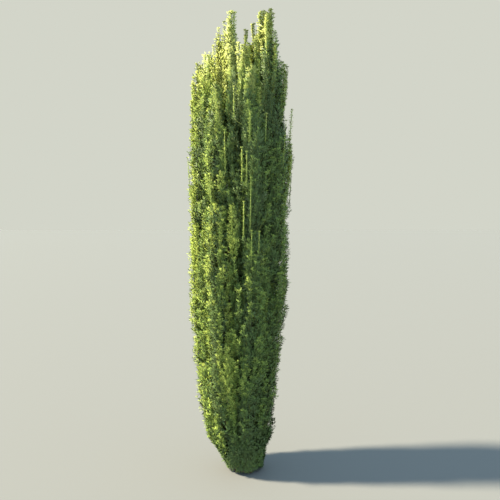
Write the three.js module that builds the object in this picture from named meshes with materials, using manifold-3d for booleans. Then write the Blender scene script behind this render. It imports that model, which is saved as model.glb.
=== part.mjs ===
// A columnar yew, 2.5 m tall: a short trunk that forks just above the ground, steep boughs that rise side
// by side inside the column, and upright spires of foliage round and on top of them.
// Millimetres, +Z up. The origin is the middle of the flat cut under the trunk, at ground level.

import * as THREE from "three";
import { mergeVertices } from "three/addons/utils/BufferGeometryUtils.js";
import Module from "manifold-3d";

const wasm = await Module();
wasm.setup();
const { lerp, smoothstep, degToRad } = THREE.MathUtils;

// Driving sizes

const seatGap = 0.3; // between a limb's end and what carries it
const groundClearance = 8; // the lowest needles stay this far above the ground

// The column leans, and its upper part draws in on the right: how far its middle stands beside the foot of
// the trunk, along X, at each height.
const middleX = [
  [0, 0],
  [80, -4],
  [180, -28],
  [330, -40],
  [600, -45],
  [1200, -28],
  [1780, -20],
  [1930, -36],
  [2250, -34],
  [2500, -26],
];

// The ring of spires: their turns round the column, in degrees from +X towards +Y, with the widest gap at
// the front, and how far their stems stand from the column's middle at each height.
const ringTurns = [-67, -28, 10, 54, 98, 142, 186, 237];
const sectors = ringTurns.length;
const sway = { degrees: 2.5, wave: 330, shift: 1.7 };
const ringRadius = [
  [0, 55],
  [66, 72],
  [270, 126],
  [450, 150],
  [900, 190],
  [1750, 208],
  [1930, 186],
  [2250, 186],
  [2500, 165],
];

const trunk = {
  footRadius: 66,
  waistRadius: 41,
  forkRadius: 47,
  flareHeight: 34,
  lobes: 5,
  lobeDepth: 0.13,
  lobeTurn: 0.6,
  topShare: 0.45,
  forkZ: 118,
  topZ: 156,
  sides: 16,
  steps: 7,
};

// Spires of the lower ring, one in each sector, by the height of their tips.
const lowTops = [1330, 1060, 1400, 1090, 1300, 1000, 1250, 1480];
const low = { footZ: 66, footRadius: 72, reach: 78, settle: 220, stemRadius: 7, tipFall: 60, coreEnds: 125 };

// Spires of the upper ring stand on top of the lower ones, with their feet tucked in behind those tips.
// The one on the right is blunt: it keeps its width almost up to its tip.
const ringTops = [2170, 2480, 2235, 2300, 2260, 2300, 2215, 2090];
const ringTipFalls = [360, 420, 130, 360, 360, 360, 280, 360];
const ring = { footBelow: 290, footRadius: 104, reach: 80, settle: 440, stemRadius: 7.5, coreEnds: 185 };

// One spire of the upper ring bulges out of the column's right side, and draws in above that.
const bulge = { sector: 2, z: 1730, height: 120, share: 0.2, above: 300, drawnIn: 0.12 };

// Spires of the crown, by the place of their tips and the size of the sprays there: two end as slim leaders.
const crownTips = {
  left_tall: [-75, -30, 2490, 1],
  left_side: [-128, 30, 2425, 1],
  middle: [2, -62, 2385, 0.5],
  back_right: [50, 52, 2430, 0.5],
  right_tall: [88, -22, 2475, 1],
  back: [-72, 92, 2400, 1],
};
const crown = { footZ: 1500, footStep: 32, footDraw: 0.8, reach: 50, stemRadius: 7, tipFall: 420, coreEnds: 185 };

// Boughs, by their radius at the foot and at the tip.
const mainBough = {
  foot: 13,
  tip: 7,
  sides: 6,
  steps: 9,
  ringRadius: 30,
  belowFork: 20,
  firstTurn: -145,
  turn: 60,
  spread: 1.5,
  leaveShare: 0.32,
  arriveShare: 0.42,
};
const ringBough = {
  foot: 10,
  tip: 7.5,
  sides: 5,
  steps: 6,
  rise: 430,
  leaveShare: 0.25,
  pull: 130,
  swing: 50,
};
const lowBough = {
  foot: 9,
  tip: 7,
  sides: 6,
  steps: 2,
  startZ: 42,
  startShare: 0.35,
  leaveRise: 4,
  pull: 14,
};

// How a spire narrows towards its foot and its tip, as shares of its reach. Its tipFall is the length of the
// narrowing at the tip, and its core ends coreEnds below the tip.
const outline = { atFoot: 0.6, footRise: 200, atTip: 0.2 };
const core = {
  outShare: 0.58,
  sideShare: 0.95,
  sides: 7,
  rings: 8,
  startsAt: 34,
  lump: 0.16,
};

// Shoots leave the stem at a narrow angle and turn upright. Each carries sprays of needles.
const shoot = {
  perMetre: 1.5,
  rise: 150,
  riseSpread: 90,
  turn: 137.5,
  foot: 4,
  tip: 2.2,
  sides: 3,
  outShare: 0.9,
};
const spray = {
  length: 118,
  width: 58,
  thickness: 5,
  thickestAt: 0.45,
  sunk: 9,
  spread: 17,
  tipSpread: 4,
  fan: 75,
  perShoot: 2,
  fromShare: 0.62,
  atTip: 4,
  smallest: 0.62,
};

// Short sprays stand out of the core all the way up, within this sweep of the side that faces outwards.
const tuft = {
  perMetre: 11.5,
  sweep: 230,
  rootShare: 0.8,
  tilt: 15,
  tiltSpread: 8,
  size: 0.8,
  sizeSpread: 0.4,
};

// Sprays that hang round the foot of each lower spire and hide the trunk.
const skirt = { count: 2, fan: 30, drop: 58, dropSpread: 10, size: 0.78, risesBy: 30 };

// How far a spire's needles and its core keep from a neighbour's space, and from the trunk and boughs.
const clearOf = { neighbour: 5, core: 15, limbShare: 1.2, trunk: 8 };

const barkColour = new THREE.Color(0.27, 0.17, 0.11);
const needleColour = new THREE.Color(0.2, 0.31, 0.07);

// Small helpers

// A number from 0 to 1 that depends only on its two seeds.
function vary(seed, salt) {
  const wave = Math.sin(seed * 12.9898 + salt * 78.233) * 43758.5453;
  return wave - Math.floor(wave);
}

// A straight-line reading between the stations of a list of [height, value].
function reading(stations, z) {
  const next = stations.findIndex(([height]) => height > z);
  if (next === 0) return stations[0][1];
  if (next < 0) return stations[stations.length - 1][1];
  const [lowZ, lowValue] = stations[next - 1];
  const [highZ, highValue] = stations[next];
  return lerp(lowValue, highValue, (z - lowZ) / (highZ - lowZ));
}

// A point at an azimuth and a distance from the column's middle.
function around(degrees, radius, z) {
  const angle = degToRad(degrees);
  return new THREE.Vector3(reading(middleX, z) + radius * Math.cos(angle), radius * Math.sin(angle), z);
}

// Two directions across a line, chosen away from the axis that the line is nearest to.
function acrossFrame(direction) {
  const alongX = Math.abs(direction.x) > 0.7;
  const reference = alongX ? new THREE.Vector3(0, 0, 1) : new THREE.Vector3(1, 0, 0);
  const second = new THREE.Vector3().crossVectors(direction, reference).normalize();
  const first = new THREE.Vector3().crossVectors(second, direction).normalize();
  return [first, second];
}

function directionAt(path, t) {
  const step = 0.004;
  const before = path(Math.max(0, t - step));
  return path(Math.min(1, t + step)).sub(before).normalize();
}

function pointsAlong(path, count) {
  return Array.from({ length: count + 1 }, (_, i) => path(i / count));
}

function bezier(...points) {
  const curve = new THREE.CubicBezierCurve3(...points);
  return (t) => curve.getPoint(t);
}

function distanceToLine(point, line) {
  const segment = new THREE.Line3();
  const nearest = new THREE.Vector3();
  let least = Infinity;
  for (let i = 1; i < line.length; i++) {
    segment.set(line[i - 1], line[i]).closestPointToPoint(point, true, nearest);
    least = Math.min(least, nearest.distanceTo(point));
  }
  return least;
}

// Solids

function solidOf(geometry) {
  geometry.deleteAttribute("normal");
  geometry.deleteAttribute("uv");
  const merged = mergeVertices(geometry, 1e-3);
  return new wasm.Manifold(
    new wasm.Mesh({
      numProp: 3,
      vertProperties: merged.attributes.position.array,
      triVerts: new Uint32Array(merged.index.array),
    }),
  );
}

function geometryOf(solid) {
  const { numProp, vertProperties, triVerts } = solid.getMesh();
  const geometry = new THREE.BufferGeometry();
  const positions = new Float32Array((vertProperties.length / numProp) * 3);
  for (let i = 0; i < positions.length / 3; i++) {
    positions.set(vertProperties.subarray(i * numProp, i * numProp + 3), i * 3);
  }
  geometry.setAttribute("position", new THREE.BufferAttribute(positions, 3));
  geometry.setIndex(new THREE.BufferAttribute(triVerts, 1));
  const flat = geometry.toNonIndexed();
  flat.computeVertexNormals();
  return flat;
}

function largestBody(solid) {
  return solid.decompose().reduce((a, b) => (a.volume() > b.volume() ? a : b));
}

// A cylinder bent along a path, with a radius for each place along it and round it.
function bentCylinder(path, radiusAt, sides, steps) {
  const geometry = new THREE.CylinderGeometry(1, 1, 1, sides, steps);
  const [firstHint] = acrossFrame(path(1).sub(path(0)).normalize());
  const position = geometry.attributes.position;
  for (let i = 0; i < position.count; i++) {
    const t = Math.min(1, Math.max(0, position.getY(i) + 0.5));
    const direction = directionAt(path, t);
    const second = new THREE.Vector3().crossVectors(direction, firstHint).normalize();
    const first = new THREE.Vector3().crossVectors(second, direction).normalize();
    const angle = Math.atan2(position.getZ(i), position.getX(i));
    const radius = Math.hypot(position.getX(i), position.getZ(i)) * radiusAt(t, angle);
    const place = path(t);
    place.addScaledVector(first, radius * Math.cos(angle));
    place.addScaledVector(second, -radius * Math.sin(angle));
    position.setXYZ(i, place.x, place.y, place.z);
  }
  return solidOf(geometry);
}

// The trunk: a flat cut at the ground, root flare with lobes, a waist, and a swelling where it forks.
function trunkRadius(z, angle, extra) {
  const { footRadius, waistRadius, forkRadius, flareHeight, forkZ, topZ } = trunk;
  const flare = Math.exp(-z / flareHeight);
  const lobe = 1 + trunk.lobeDepth * flare * Math.cos(trunk.lobes * angle + trunk.lobeTurn);
  const shaft = lerp(waistRadius, forkRadius, smoothstep(z, flareHeight, forkZ));
  const aboveFork = Math.min(1, Math.max(0, (z - forkZ) / (topZ - forkZ)));
  const rounding = lerp(trunk.topShare, 1, Math.sqrt(1 - aboveFork ** 2));
  return (shaft + (footRadius - waistRadius) * flare) * lobe * rounding + extra;
}

function trunkSolid(extra) {
  const path = (t) => new THREE.Vector3(0, 0, trunk.topZ * t + (t > 0.99 ? extra : 0));
  const radiusAt = (t, angle) => trunkRadius(trunk.topZ * t, angle, extra);
  return bentCylinder(path, radiusAt, trunk.sides, trunk.steps);
}

// A limb is a path with a radius at its foot and its tip. It is cut clear of what it grows from.
function limbSolid(limb, extra = 0) {
  return bentCylinder(limb.path, (t) => lerp(limb.foot, limb.tip, t) + extra, limb.sides, limb.steps);
}

// Skeleton: the stems of the spires, and the boughs that lead to them

// The stem of a spire in the ring. It starts close to the column's middle and settles at the ring's radius.
function ringStem(sector, footZ, topZ, sizes) {
  return (t) => {
    const z = lerp(footZ, topZ, t);
    const settled = smoothstep(z, footZ, footZ + sizes.settle);
    const radius = lerp(sizes.footRadius, reading(ringRadius, z), settled);
    const swayed = sway.degrees * Math.sin(z / sway.wave + sector * sway.shift);
    return around(ringTurns[sector] + swayed, radius, z);
  };
}

// The stem of a spire in the crown, drawn in towards the middle at its foot.
function crownStem(tip, footZ) {
  const [x, y, topZ] = tip;
  const middle = reading(middleX, footZ);
  return (t) => {
    const draw = lerp(crown.footDraw, 1, smoothstep(t, 0, 1));
    return new THREE.Vector3(middle + (x - middle) * draw, y * draw, lerp(footZ, topZ, t));
  };
}

const masses = [];

function addMass(name, stem, sizes, seed) {
  const line = pointsAlong(stem, 24);
  const length = line[0].distanceTo(line[line.length - 1]);
  masses.push({ name, stem, line, length, seed, ...sizes });
}

Object.entries(crownTips).forEach(([name, tip], i) => {
  const footZ = crown.footZ + crown.footStep * ((i * 2) % 5);
  addMass("foliage_crown_" + name, crownStem(tip, footZ), { ...crown, tipSize: tip[3] }, 60 + i);
});
for (let i = 0; i < sectors; i++) {
  const footZ = lowTops[i] - ring.footBelow;
  const sizes = { ...ring, tipFall: ringTipFalls[i], inRing: true };
  addMass("foliage_ring_" + (i + 1), ringStem(i, footZ, ringTops[i], ring), sizes, 30 + i);
}
for (let i = 0; i < sectors; i++) {
  const sizes = { ...low, inRing: true, hasSkirt: true };
  addMass("foliage_low_" + (i + 1), ringStem(i, low.footZ, lowTops[i], low), sizes, i);
}

const limbs = [];

function addLimb(name, path, sizes, parent) {
  const line = pointsAlong(path, 16);
  limbs.push({ name, path, line, parent, ...sizes });
}

// Each main bough rises from the fork to the foot of a crown spire, in the order of their turns.
const forkOrder = ["left_tall", "middle", "right_tall", "back_right", "back", "left_side"];
forkOrder.forEach((name, i) => {
  const angle = degToRad(mainBough.firstTurn + i * mainBough.turn);
  const mass = masses.find((m) => m.name === "foliage_crown_" + name);
  const foot = mass.line[0];
  const start = new THREE.Vector3(Math.cos(angle), Math.sin(angle), 0).multiplyScalar(mainBough.ringRadius);
  start.z = trunk.forkZ - mainBough.belowFork;
  const leave = start.clone().multiplyScalar(mainBough.spread).setZ(foot.z * mainBough.leaveShare);
  const arrive = foot.clone().addScaledVector(directionAt(mass.stem, 0), -foot.z * mainBough.arriveShare);
  addLimb("bough_crown_" + name, bezier(start, leave, arrive, foot), mainBough, null);
});

// Each upper ring spire has a bough from the main bough that stands most nearly on its side of the bundle.
for (let i = 0; i < sectors; i++) {
  const mass = masses.find((m) => m.name === "foliage_ring_" + (i + 1));
  const foot = mass.line[0];
  const startZ = foot.z - ringBough.rise;
  const mains = limbs.filter((limb) => limb.name.startsWith("bough_crown"));
  const nearer = (a, b) => (Math.abs(b.z - startZ) < Math.abs(a.z - startZ) ? b : a);
  const at = (limb) => limb.line.reduce(nearer);
  const sum = mains.reduce((total, limb) => total.add(at(limb)), new THREE.Vector3());
  const bundle = sum.divideScalar(mains.length);
  const away = foot.clone().sub(bundle).setZ(0).normalize();
  const facing = (limb) => at(limb).clone().sub(bundle).setZ(0).normalize().dot(away);
  const parent = mains.reduce((a, b) => (facing(a) > facing(b) ? a : b));
  const start = at(parent).clone();
  const leave = start.clone().addScaledVector(away, ringBough.swing);
  leave.z = start.z + ringBough.rise * ringBough.leaveShare;
  const arrive = foot.clone().addScaledVector(directionAt(mass.stem, 0), -ringBough.pull);
  addLimb("bough_ring_" + (i + 1), bezier(start, leave, arrive, foot), ringBough, parent);
}

// Each lower spire has a short bough from the side of the trunk.
for (let i = 0; i < sectors; i++) {
  const mass = masses.find((m) => m.name === "foliage_low_" + (i + 1));
  const foot = mass.line[0];
  const start = foot.clone().multiplyScalar(lowBough.startShare).setZ(lowBough.startZ);
  const leave = start.clone().lerp(foot, 0.5).setZ(lowBough.startZ + lowBough.leaveRise);
  const arrive = foot.clone().addScaledVector(directionAt(mass.stem, 0), -lowBough.pull);
  addLimb("bough_low_" + (i + 1), bezier(start, leave, arrive, foot), lowBough, null);
}

// Growth rule

// The bulge: a soft hump in the reach at one height, and a soft hollow above it.
const bulgingName = "foliage_ring_" + (bulge.sector + 1);
function swelling(z) {
  const hump = Math.exp(-(((z - bulge.z) / bulge.height) ** 2));
  const hollow = Math.exp(-(((z - bulge.z - bulge.above) / bulge.height) ** 2));
  return 1 + bulge.share * hump - bulge.drawnIn * hollow;
}

// How far a spire's shoots reach from its stem, t of the way up. Where the stem of a spire in the ring still
// stands inside the ring, they reach as much further.
function reachAt(mass, t) {
  const place = mass.stem(t);
  const fromFoot = t * mass.length;
  const fromTip = (1 - t) * mass.length;
  const rise = lerp(outline.atFoot, 1, smoothstep(fromFoot, 0, outline.footRise));
  const fall = lerp(outline.atTip, 1, smoothstep(fromTip, 0, mass.tipFall));
  const beside = Math.hypot(place.x - reading(middleX, place.z), place.y);
  const inset = mass.inRing ? Math.max(0, reading(ringRadius, place.z) - beside) : 0;
  const swell = mass.name === bulgingName ? swelling(place.z) : 1;
  return (mass.reach + inset) * Math.min(rise, fall) * swell;
}

// A point belongs to the spire whose stem is nearest, by a margin, and keeps clear of every limb, the trunk
// and the ground.
function isFree(point, mass, margin) {
  if (point.z < groundClearance) return false;
  const own = distanceToLine(point, mass.line);
  for (const other of masses) {
    if (other !== mass && distanceToLine(point, other.line) < own + margin) return false;
  }
  const beside = Math.hypot(point.x, point.y);
  if (point.z < trunk.topZ && beside < trunkRadius(point.z, 0, clearOf.trunk)) return false;
  const wide = margin * clearOf.limbShare;
  return limbs.every((limb) => distanceToLine(point, limb.line) > limb.foot + wide);
}

// The direction from a stem, turned round it.
function outwards(mass, t, turn) {
  const direction = directionAt(mass.stem, t);
  const [first, second] = acrossFrame(direction);
  return first.multiplyScalar(Math.cos(turn)).addScaledVector(second, Math.sin(turn));
}

// The direction from the column's middle to a place.
function awayFromMiddle(place) {
  return new THREE.Vector3(place.x - reading(middleX, place.z), place.y, 0).normalize();
}

// How thick the core is in a direction from the stem, t of the way up. It fills the sides of the spire's
// space more than the side that faces outwards, where the sprays stand.
function coreRadius(mass, t, direction, scale) {
  const place = mass.stem(t);
  const share = lerp(core.sideShare, core.outShare, direction.dot(awayFromMiddle(place)) ** 2);
  let radius = share * reachAt(mass, t) * scale;
  const at = (part) => place.clone().addScaledVector(direction, radius * part);
  const isBlocked = () => [1, 0.8, 0.6].some((part) => !isFree(at(part), mass, clearOf.core));
  while (radius > mass.stemRadius && isBlocked()) radius *= 0.9;
  return Math.max(radius, mass.stemRadius * 0.8);
}

// A spire's stem with its dense core, in one piece: it leaves its bough as a stem, swells to a core that is
// smaller than the spire and draws in wherever a neighbour or a limb comes near, and ends as a thin leader.
function coreSolid(mass, stemEnd) {
  const first = core.startsAt / mass.length;
  const last = 1 - mass.coreEnds / mass.length;
  const stations = [seatGap / mass.length];
  for (let i = 0; i < core.rings; i++) stations.push(lerp(first, last, i / (core.rings - 1)));
  stations.push(stemEnd);
  const steps = stations.length - 1;
  const along = (t) => {
    const i = Math.min(steps - 1, Math.floor(t * steps));
    return lerp(stations[i], stations[i + 1], t * steps - i);
  };
  const radiusAt = (t, angle) => {
    const ringIndex = Math.round(t * steps);
    if (ringIndex === 0) return mass.stemRadius;
    if (ringIndex === steps) return shoot.tip;
    const side = Math.round((angle / (2 * Math.PI)) * core.sides);
    const lump = 1 + core.lump * (2 * vary(mass.seed + ringIndex, side) - 1);
    return coreRadius(mass, along(t), outwards(mass, along(t), -angle), lump * (ringIndex === 1 ? 0.7 : 1));
  };
  return bentCylinder((t) => mass.stem(along(t)), radiusAt, core.sides, steps);
}

// A spray of needles: a thin blade with pointed teeth, along a direction from a root.
function sprayPoints(root, direction, flat, size) {
  const side = new THREE.Vector3().crossVectors(direction, flat).normalize();
  const normal = new THREE.Vector3().crossVectors(side, direction).normalize();
  const rim = [
    [0, 0],
    [0.5, 0.74],
    [0.12, 0.6],
    [0, 1],
    [-0.5, 0.66],
  ];
  const place = (across, along, lift) =>
    root
      .clone()
      .addScaledVector(side, across * spray.width * size)
      .addScaledVector(direction, along * spray.length * size)
      .addScaledVector(normal, lift);
  const points = rim.map(([across, along]) => place(across, along, 0));
  points.push(place(0, spray.thickestAt, spray.thickness / 2));
  points.push(place(0, spray.thickestAt, -spray.thickness / 2));
  return points;
}

function spraySolid(points) {
  const rimCount = points.length - 2;
  const geometry = new THREE.BufferGeometry().setFromPoints(points);
  const faces = [];
  for (let i = 0; i < rimCount; i++) {
    const next = (i + 1) % rimCount;
    faces.push(rimCount, next, i, rimCount + 1, i, next);
  }
  geometry.setIndex(faces);
  const solid = solidOf(geometry);
  if (solid.volume() > 0) return solid;
  const turned = [];
  for (let i = 0; i < faces.length; i += 3) turned.push(faces[i], faces[i + 2], faces[i + 1]);
  geometry.setIndex(turned);
  return solidOf(geometry);
}

// How far out a direction is free from a spire's stem, t of the way up, within the spire's reach.
function roomAt(mass, t, turn) {
  const place = mass.stem(t);
  const direction = outwards(mass, t, turn);
  let room = reachAt(mass, t);
  const edge = () => place.clone().addScaledVector(direction, room);
  while (room > mass.stemRadius && !isFree(edge(), mass, clearOf.neighbour)) room *= 0.88;
  return room;
}

// The path of one shoot: straight from the stem into the room beside it, while it rises with the stem.
function shootPath(mass, from, rise, turn) {
  const end = Math.min(1, from + rise / mass.length);
  const out = shoot.outShare * roomAt(mass, end, turn);
  const start = mass.stem(from);
  const tip = mass.stem(end).addScaledVector(outwards(mass, end, turn), out);
  return (u) => start.clone().lerp(tip, u);
}

// One spray from a root. It is tried again nearer the upright and smaller where it would leave the spire's
// space, and then skipped.
function addSpray(mass, root, upright, side, flat, tilt, size, pieces) {
  for (const ease of [1, 0.6, 0.25]) {
    const angle = degToRad(tilt) * ease;
    const heading = upright.clone().multiplyScalar(Math.cos(angle)).addScaledVector(side, Math.sin(angle));
    const points = sprayPoints(root, heading, flat, lerp(spray.smallest, 1, ease) * size);
    const middles = points.slice(1).map((point, i) => point.clone().lerp(points[i], 0.5));
    const tested = points.slice(1).concat(middles);
    if (tested.every((point) => isFree(point, mass, clearOf.neighbour))) {
      pieces.push(spraySolid(points));
      return;
    }
  }
}

// Sprays fan out to both sides of a shoot, and the last one carries it on to its tip.
function addSprays(mass, path, facing, count, fromShare, scale, seed, pieces) {
  for (let j = 0; j < count; j++) {
    const last = j === count - 1;
    const u = lerp(fromShare, 1, count === 1 ? 1 : j / (count - 1));
    const tangent = directionAt(path, u);
    const fan = degToRad(spray.fan) * (j % 2 ? 1 : -1) * (0.6 + 0.8 * vary(seed, j));
    const side = facing.clone().applyAxisAngle(tangent, fan);
    const flat = facing.clone().applyAxisAngle(tangent, fan * 0.7);
    const root = path(u).addScaledVector(tangent, -spray.sunk);
    const tilt = last ? spray.tipSpread : spray.spread;
    const size = scale * (0.9 + 0.2 * vary(seed, j + 7));
    addSpray(mass, root, tangent, side, flat, tilt, size, pieces);
  }
}

// Sprays rooted in the core, turned by the golden angle from one to the next within their sweep.
function addTufts(mass, pieces) {
  const count = Math.round((mass.length / 1000) * tuft.perMetre);
  for (let k = 0; k < count; k++) {
    const t = lerp(core.startsAt, mass.length - mass.coreEnds, (k + 0.5) / count) / mass.length;
    const place = mass.stem(t);
    const upright = directionAt(mass.stem, t);
    const turned = ((k * shoot.turn) % 360) / 360 - 0.5;
    const side = awayFromMiddle(place).applyAxisAngle(upright, degToRad(turned * tuft.sweep));
    side.addScaledVector(upright, -side.dot(upright)).normalize();
    const root = place.clone().addScaledVector(side, tuft.rootShare * coreRadius(mass, t, side, 1));
    const tilt = tuft.tilt + tuft.tiltSpread * (2 * vary(mass.seed, k + 100) - 1);
    const size = tuft.size + tuft.sizeSpread * vary(mass.seed, k + 200);
    addSpray(mass, root, upright, side, side, tilt, size, pieces);
  }
}

// Sprays that hang outwards from the foot of a lower spire.
function addSkirt(mass, pieces) {
  const root = mass.stem(skirt.risesBy / mass.length);
  const up = new THREE.Vector3(0, 0, 1);
  for (let j = 0; j < skirt.count; j++) {
    const fan = degToRad(skirt.fan) * (j - (skirt.count - 1) / 2);
    const side = awayFromMiddle(root).applyAxisAngle(up, fan);
    const drop = skirt.drop + skirt.dropSpread * (2 * vary(mass.seed, j + 300) - 1);
    addSpray(mass, root, side, up.clone().negate(), up, drop, skirt.size, pieces);
  }
}

function massSolid(mass) {
  const { stem, length, seed } = mass;
  const tipInset = spray.length - spray.sunk;
  const stemEnd = 1 - tipInset / length;
  const leader = (t) => stem(lerp(1 - mass.coreEnds / length, stemEnd, t));
  const pieces = [];
  addSprays(mass, leader, outwards(mass, 1, seed), spray.atTip, 0.1, mass.tipSize ?? 1, seed, pieces);
  addTufts(mass, pieces);
  if (mass.hasSkirt) addSkirt(mass, pieces);

  const shoots = Math.round((length / 1000) * shoot.perMetre);
  for (let k = 0; k < shoots; k++) {
    const rise = shoot.rise + shoot.riseSpread * vary(seed, k);
    const room = 1 - (rise + tipInset) / length;
    const from = lerp(0, Math.max(0.1, room), (k + vary(seed, k + 50)) / shoots);
    const turn = degToRad(shoot.turn) * (k + seed);
    const path = shootPath(mass, from, rise, turn);
    if (!pointsAlong(path, 6).slice(1).every((point) => isFree(point, mass, clearOf.neighbour))) continue;
    pieces.push(bentCylinder(path, (t) => lerp(shoot.foot, shoot.tip, t), shoot.sides, 1));
    const facing = outwards(mass, from, turn);
    addSprays(mass, path, facing, spray.perShoot, spray.fromShare, 1, k + seed, pieces);
  }
  const whole = pieces.reduce((solid, piece) => solid.add(piece), coreSolid(mass, stemEnd));
  return largestBody(whole);
}

// The tree

const bark = new THREE.MeshStandardMaterial({ color: barkColour, roughness: 0.85, metalness: 0 });
const needles = new THREE.MeshStandardMaterial({ color: needleColour, roughness: 0.6, metalness: 0 });
const yew = new THREE.Group();

function addMesh(name, solid, material) {
  const mesh = new THREE.Mesh(geometryOf(solid), material);
  mesh.name = name;
  yew.add(mesh);
}

addMesh("trunk", trunkSolid(0), bark);
for (const limb of limbs) {
  const carrier = limb.parent ? limbSolid(limb.parent, seatGap) : trunkSolid(seatGap);
  addMesh(limb.name, largestBody(limbSolid(limb).subtract(carrier)), bark);
}
for (const mass of masses) {
  addMesh(mass.name, massSolid(mass), needles);
}

export default yew;
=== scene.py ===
# A columnar yew, 2.5 m tall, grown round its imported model: a forked trunk and steep boughs in flaking bark,
# woody stems inside upright spires, and sprays of shoots that carry every needle.
import bpy
import math
import time
import numpy as np
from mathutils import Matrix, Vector


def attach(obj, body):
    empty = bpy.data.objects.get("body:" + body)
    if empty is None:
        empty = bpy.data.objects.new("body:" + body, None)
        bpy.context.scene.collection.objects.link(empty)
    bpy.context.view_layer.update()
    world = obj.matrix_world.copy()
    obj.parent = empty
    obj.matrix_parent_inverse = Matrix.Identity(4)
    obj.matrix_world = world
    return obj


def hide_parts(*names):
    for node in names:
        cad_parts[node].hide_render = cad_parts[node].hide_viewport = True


startTime = time.time()
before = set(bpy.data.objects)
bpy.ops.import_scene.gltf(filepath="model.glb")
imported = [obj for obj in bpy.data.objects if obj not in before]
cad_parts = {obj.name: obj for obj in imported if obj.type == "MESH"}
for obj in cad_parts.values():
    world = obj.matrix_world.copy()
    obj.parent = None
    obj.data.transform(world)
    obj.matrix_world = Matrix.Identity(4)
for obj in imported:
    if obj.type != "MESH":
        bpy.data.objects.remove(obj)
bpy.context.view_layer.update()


def report(stage):
    print(f"{stage}: {time.time() - startTime:.1f} s")


report("frame loaded")

# The same plan as the solids', in metres: where the column's middle stands at each height, how far the ring
# of spires stands from it, and the turns of the spires round it.
column = dict(
    middleX=[(0, 0), (0.08, -0.004), (0.18, -0.028), (0.33, -0.04), (0.6, -0.045), (1.2, -0.028),
             (1.78, -0.02), (1.93, -0.036), (2.25, -0.034), (2.5, -0.026)],
    ringRadius=[(0, 0.055), (0.066, 0.072), (0.27, 0.126), (0.45, 0.15), (0.9, 0.19), (1.75, 0.208),
                (1.93, 0.186), (2.25, 0.186), (2.5, 0.165)],
    ringTurns=[-67, -28, 10, 54, 98, 142, 186, 237],
    swayDegrees=2.5, swayWave=0.33, swayShift=1.7)
lowSpires = dict(tops=[1.33, 1.06, 1.4, 1.09, 1.3, 1.0, 1.25, 1.48], tipFalls=[0.06] * 8, footZ=0.066,
                 footRadius=0.072, reach=0.078, settle=0.22, stem=0.007, firstSeed=0)
ringSpires = dict(tops=[2.17, 2.48, 2.235, 2.3, 2.26, 2.3, 2.215, 2.09],
                  tipFalls=[0.36, 0.42, 0.13, 0.36, 0.36, 0.36, 0.28, 0.36], footBelow=0.29,
                  footRadius=0.104, reach=0.08, settle=0.44, stem=0.0075, firstSeed=30)
crownSpires = dict(
    tips=dict(left_tall=(-0.075, -0.03, 2.49), left_side=(-0.128, 0.03, 2.425), middle=(0.002, -0.062, 2.385),
              back_right=(0.05, 0.052, 2.43), right_tall=(0.088, -0.022, 2.475), back=(-0.072, 0.092, 2.4)),
    footZ=1.5, footStep=0.032, footDraw=0.8, reach=0.05, stem=0.007, tipFall=0.42, firstSeed=60)
bulge = dict(sector=2, z=1.73, height=0.12, share=0.2, above=0.3, drawnIn=0.12)
spireOutline = dict(atFoot=0.6, footRise=0.2, atTip=0.2)

up = np.array([0, 0, 1.0])
flat = np.array([1, 1, 0])
goldenTurn = math.radians(137.5)
goldenShare = 0.381966


# Numbers and curves

def vary(seed, salt):  # a number from 0 to 1 that depends only on its two seeds
    wave = np.sin(np.asarray(seed, float) * 12.9898 + np.asarray(salt, float) * 78.233) * 43758.5453
    return wave - np.floor(wave)


def mix(a, b, share):
    return a + (b - a) * share


def swing(seed, salt):  # the same from -0.5 to 0.5
    return vary(seed, salt) - 0.5


def pick(limits, seed, salt):  # the same between two limits
    return mix(*limits, vary(seed, salt))


def smooth(x, low, high):  # 0 below low, 1 above high, with a soft start and end
    share = np.clip((np.asarray(x, float) - low) / (high - low), 0, 1)
    return share * share * (3 - 2 * share)


def fading(x, low, high):  # 1 below low, 0 above high
    return 1 - smooth(x, low, high)


def reading(stations, z):  # straight-line reading between stations of height and value
    heights, values = zip(*stations)
    return np.interp(z, heights, values)


def middleX(z):
    return reading(column["middleX"], z)


def ringRadius(z):
    return reading(column["ringRadius"], z)


def swayAt(z, sector):  # degrees by which a spire of the ring turns to and fro as it rises
    return column["swayDegrees"] * np.sin(z / column["swayWave"] + sector * column["swayShift"])


def unit(vectors):
    return vectors / np.maximum(np.linalg.norm(vectors, axis=-1, keepdims=True), 1e-9)


def levelAt(turn):  # level directions at turns from X
    return np.stack([np.cos(turn), np.sin(turn), turn * 0], -1)


def numbered(counts):  # a row and a running number for each of several things on each spire or curve
    return np.repeat(np.arange(len(counts)), counts), np.concatenate([np.arange(n) for n in counts])


def curvePoints(curves, u):  # cubic curves (k, 4, 3) at u (k, n): the sum of Bernstein weights and points
    v = 1 - u
    weights = np.stack([v ** 3, 3 * v * v * u, 3 * v * u * u, u ** 3], -1)
    return np.einsum("knw,kwx->knx", weights, curves)


def curveTangents(curves, u):  # the same curves' directions: differences of the points in quadratic weights
    v = 1 - u
    weights = np.stack([v * v, 2 * v * u, u * u], -1)
    return unit(np.einsum("knw,kwx->knx", weights, np.diff(curves, axis=1)))


def evenPoints(curves, count):
    return curvePoints(curves, np.tile(np.linspace(0, 1, count), (len(curves), 1)))


def curveLengths(curves):
    return np.linalg.norm(np.diff(evenPoints(curves, 9), axis=1), axis=-1).sum(1)


def acrossFrame(directions):  # two directions square to each one, away from the axis that it is nearest to
    nearX = np.abs(directions[..., :1]) > 0.7
    second = unit(np.cross(directions, np.where(nearX, up, np.array([1.0, 0, 0]))))
    return unit(np.cross(second, directions)), second


def radialAt(axis, turn):  # a direction square to each axis: cos turn * first + sin turn * second
    first, second = acrossFrame(axis)
    return np.cos(turn)[:, None] * first + np.sin(turn)[:, None] * second


# Meshes from whole arrays

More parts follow.
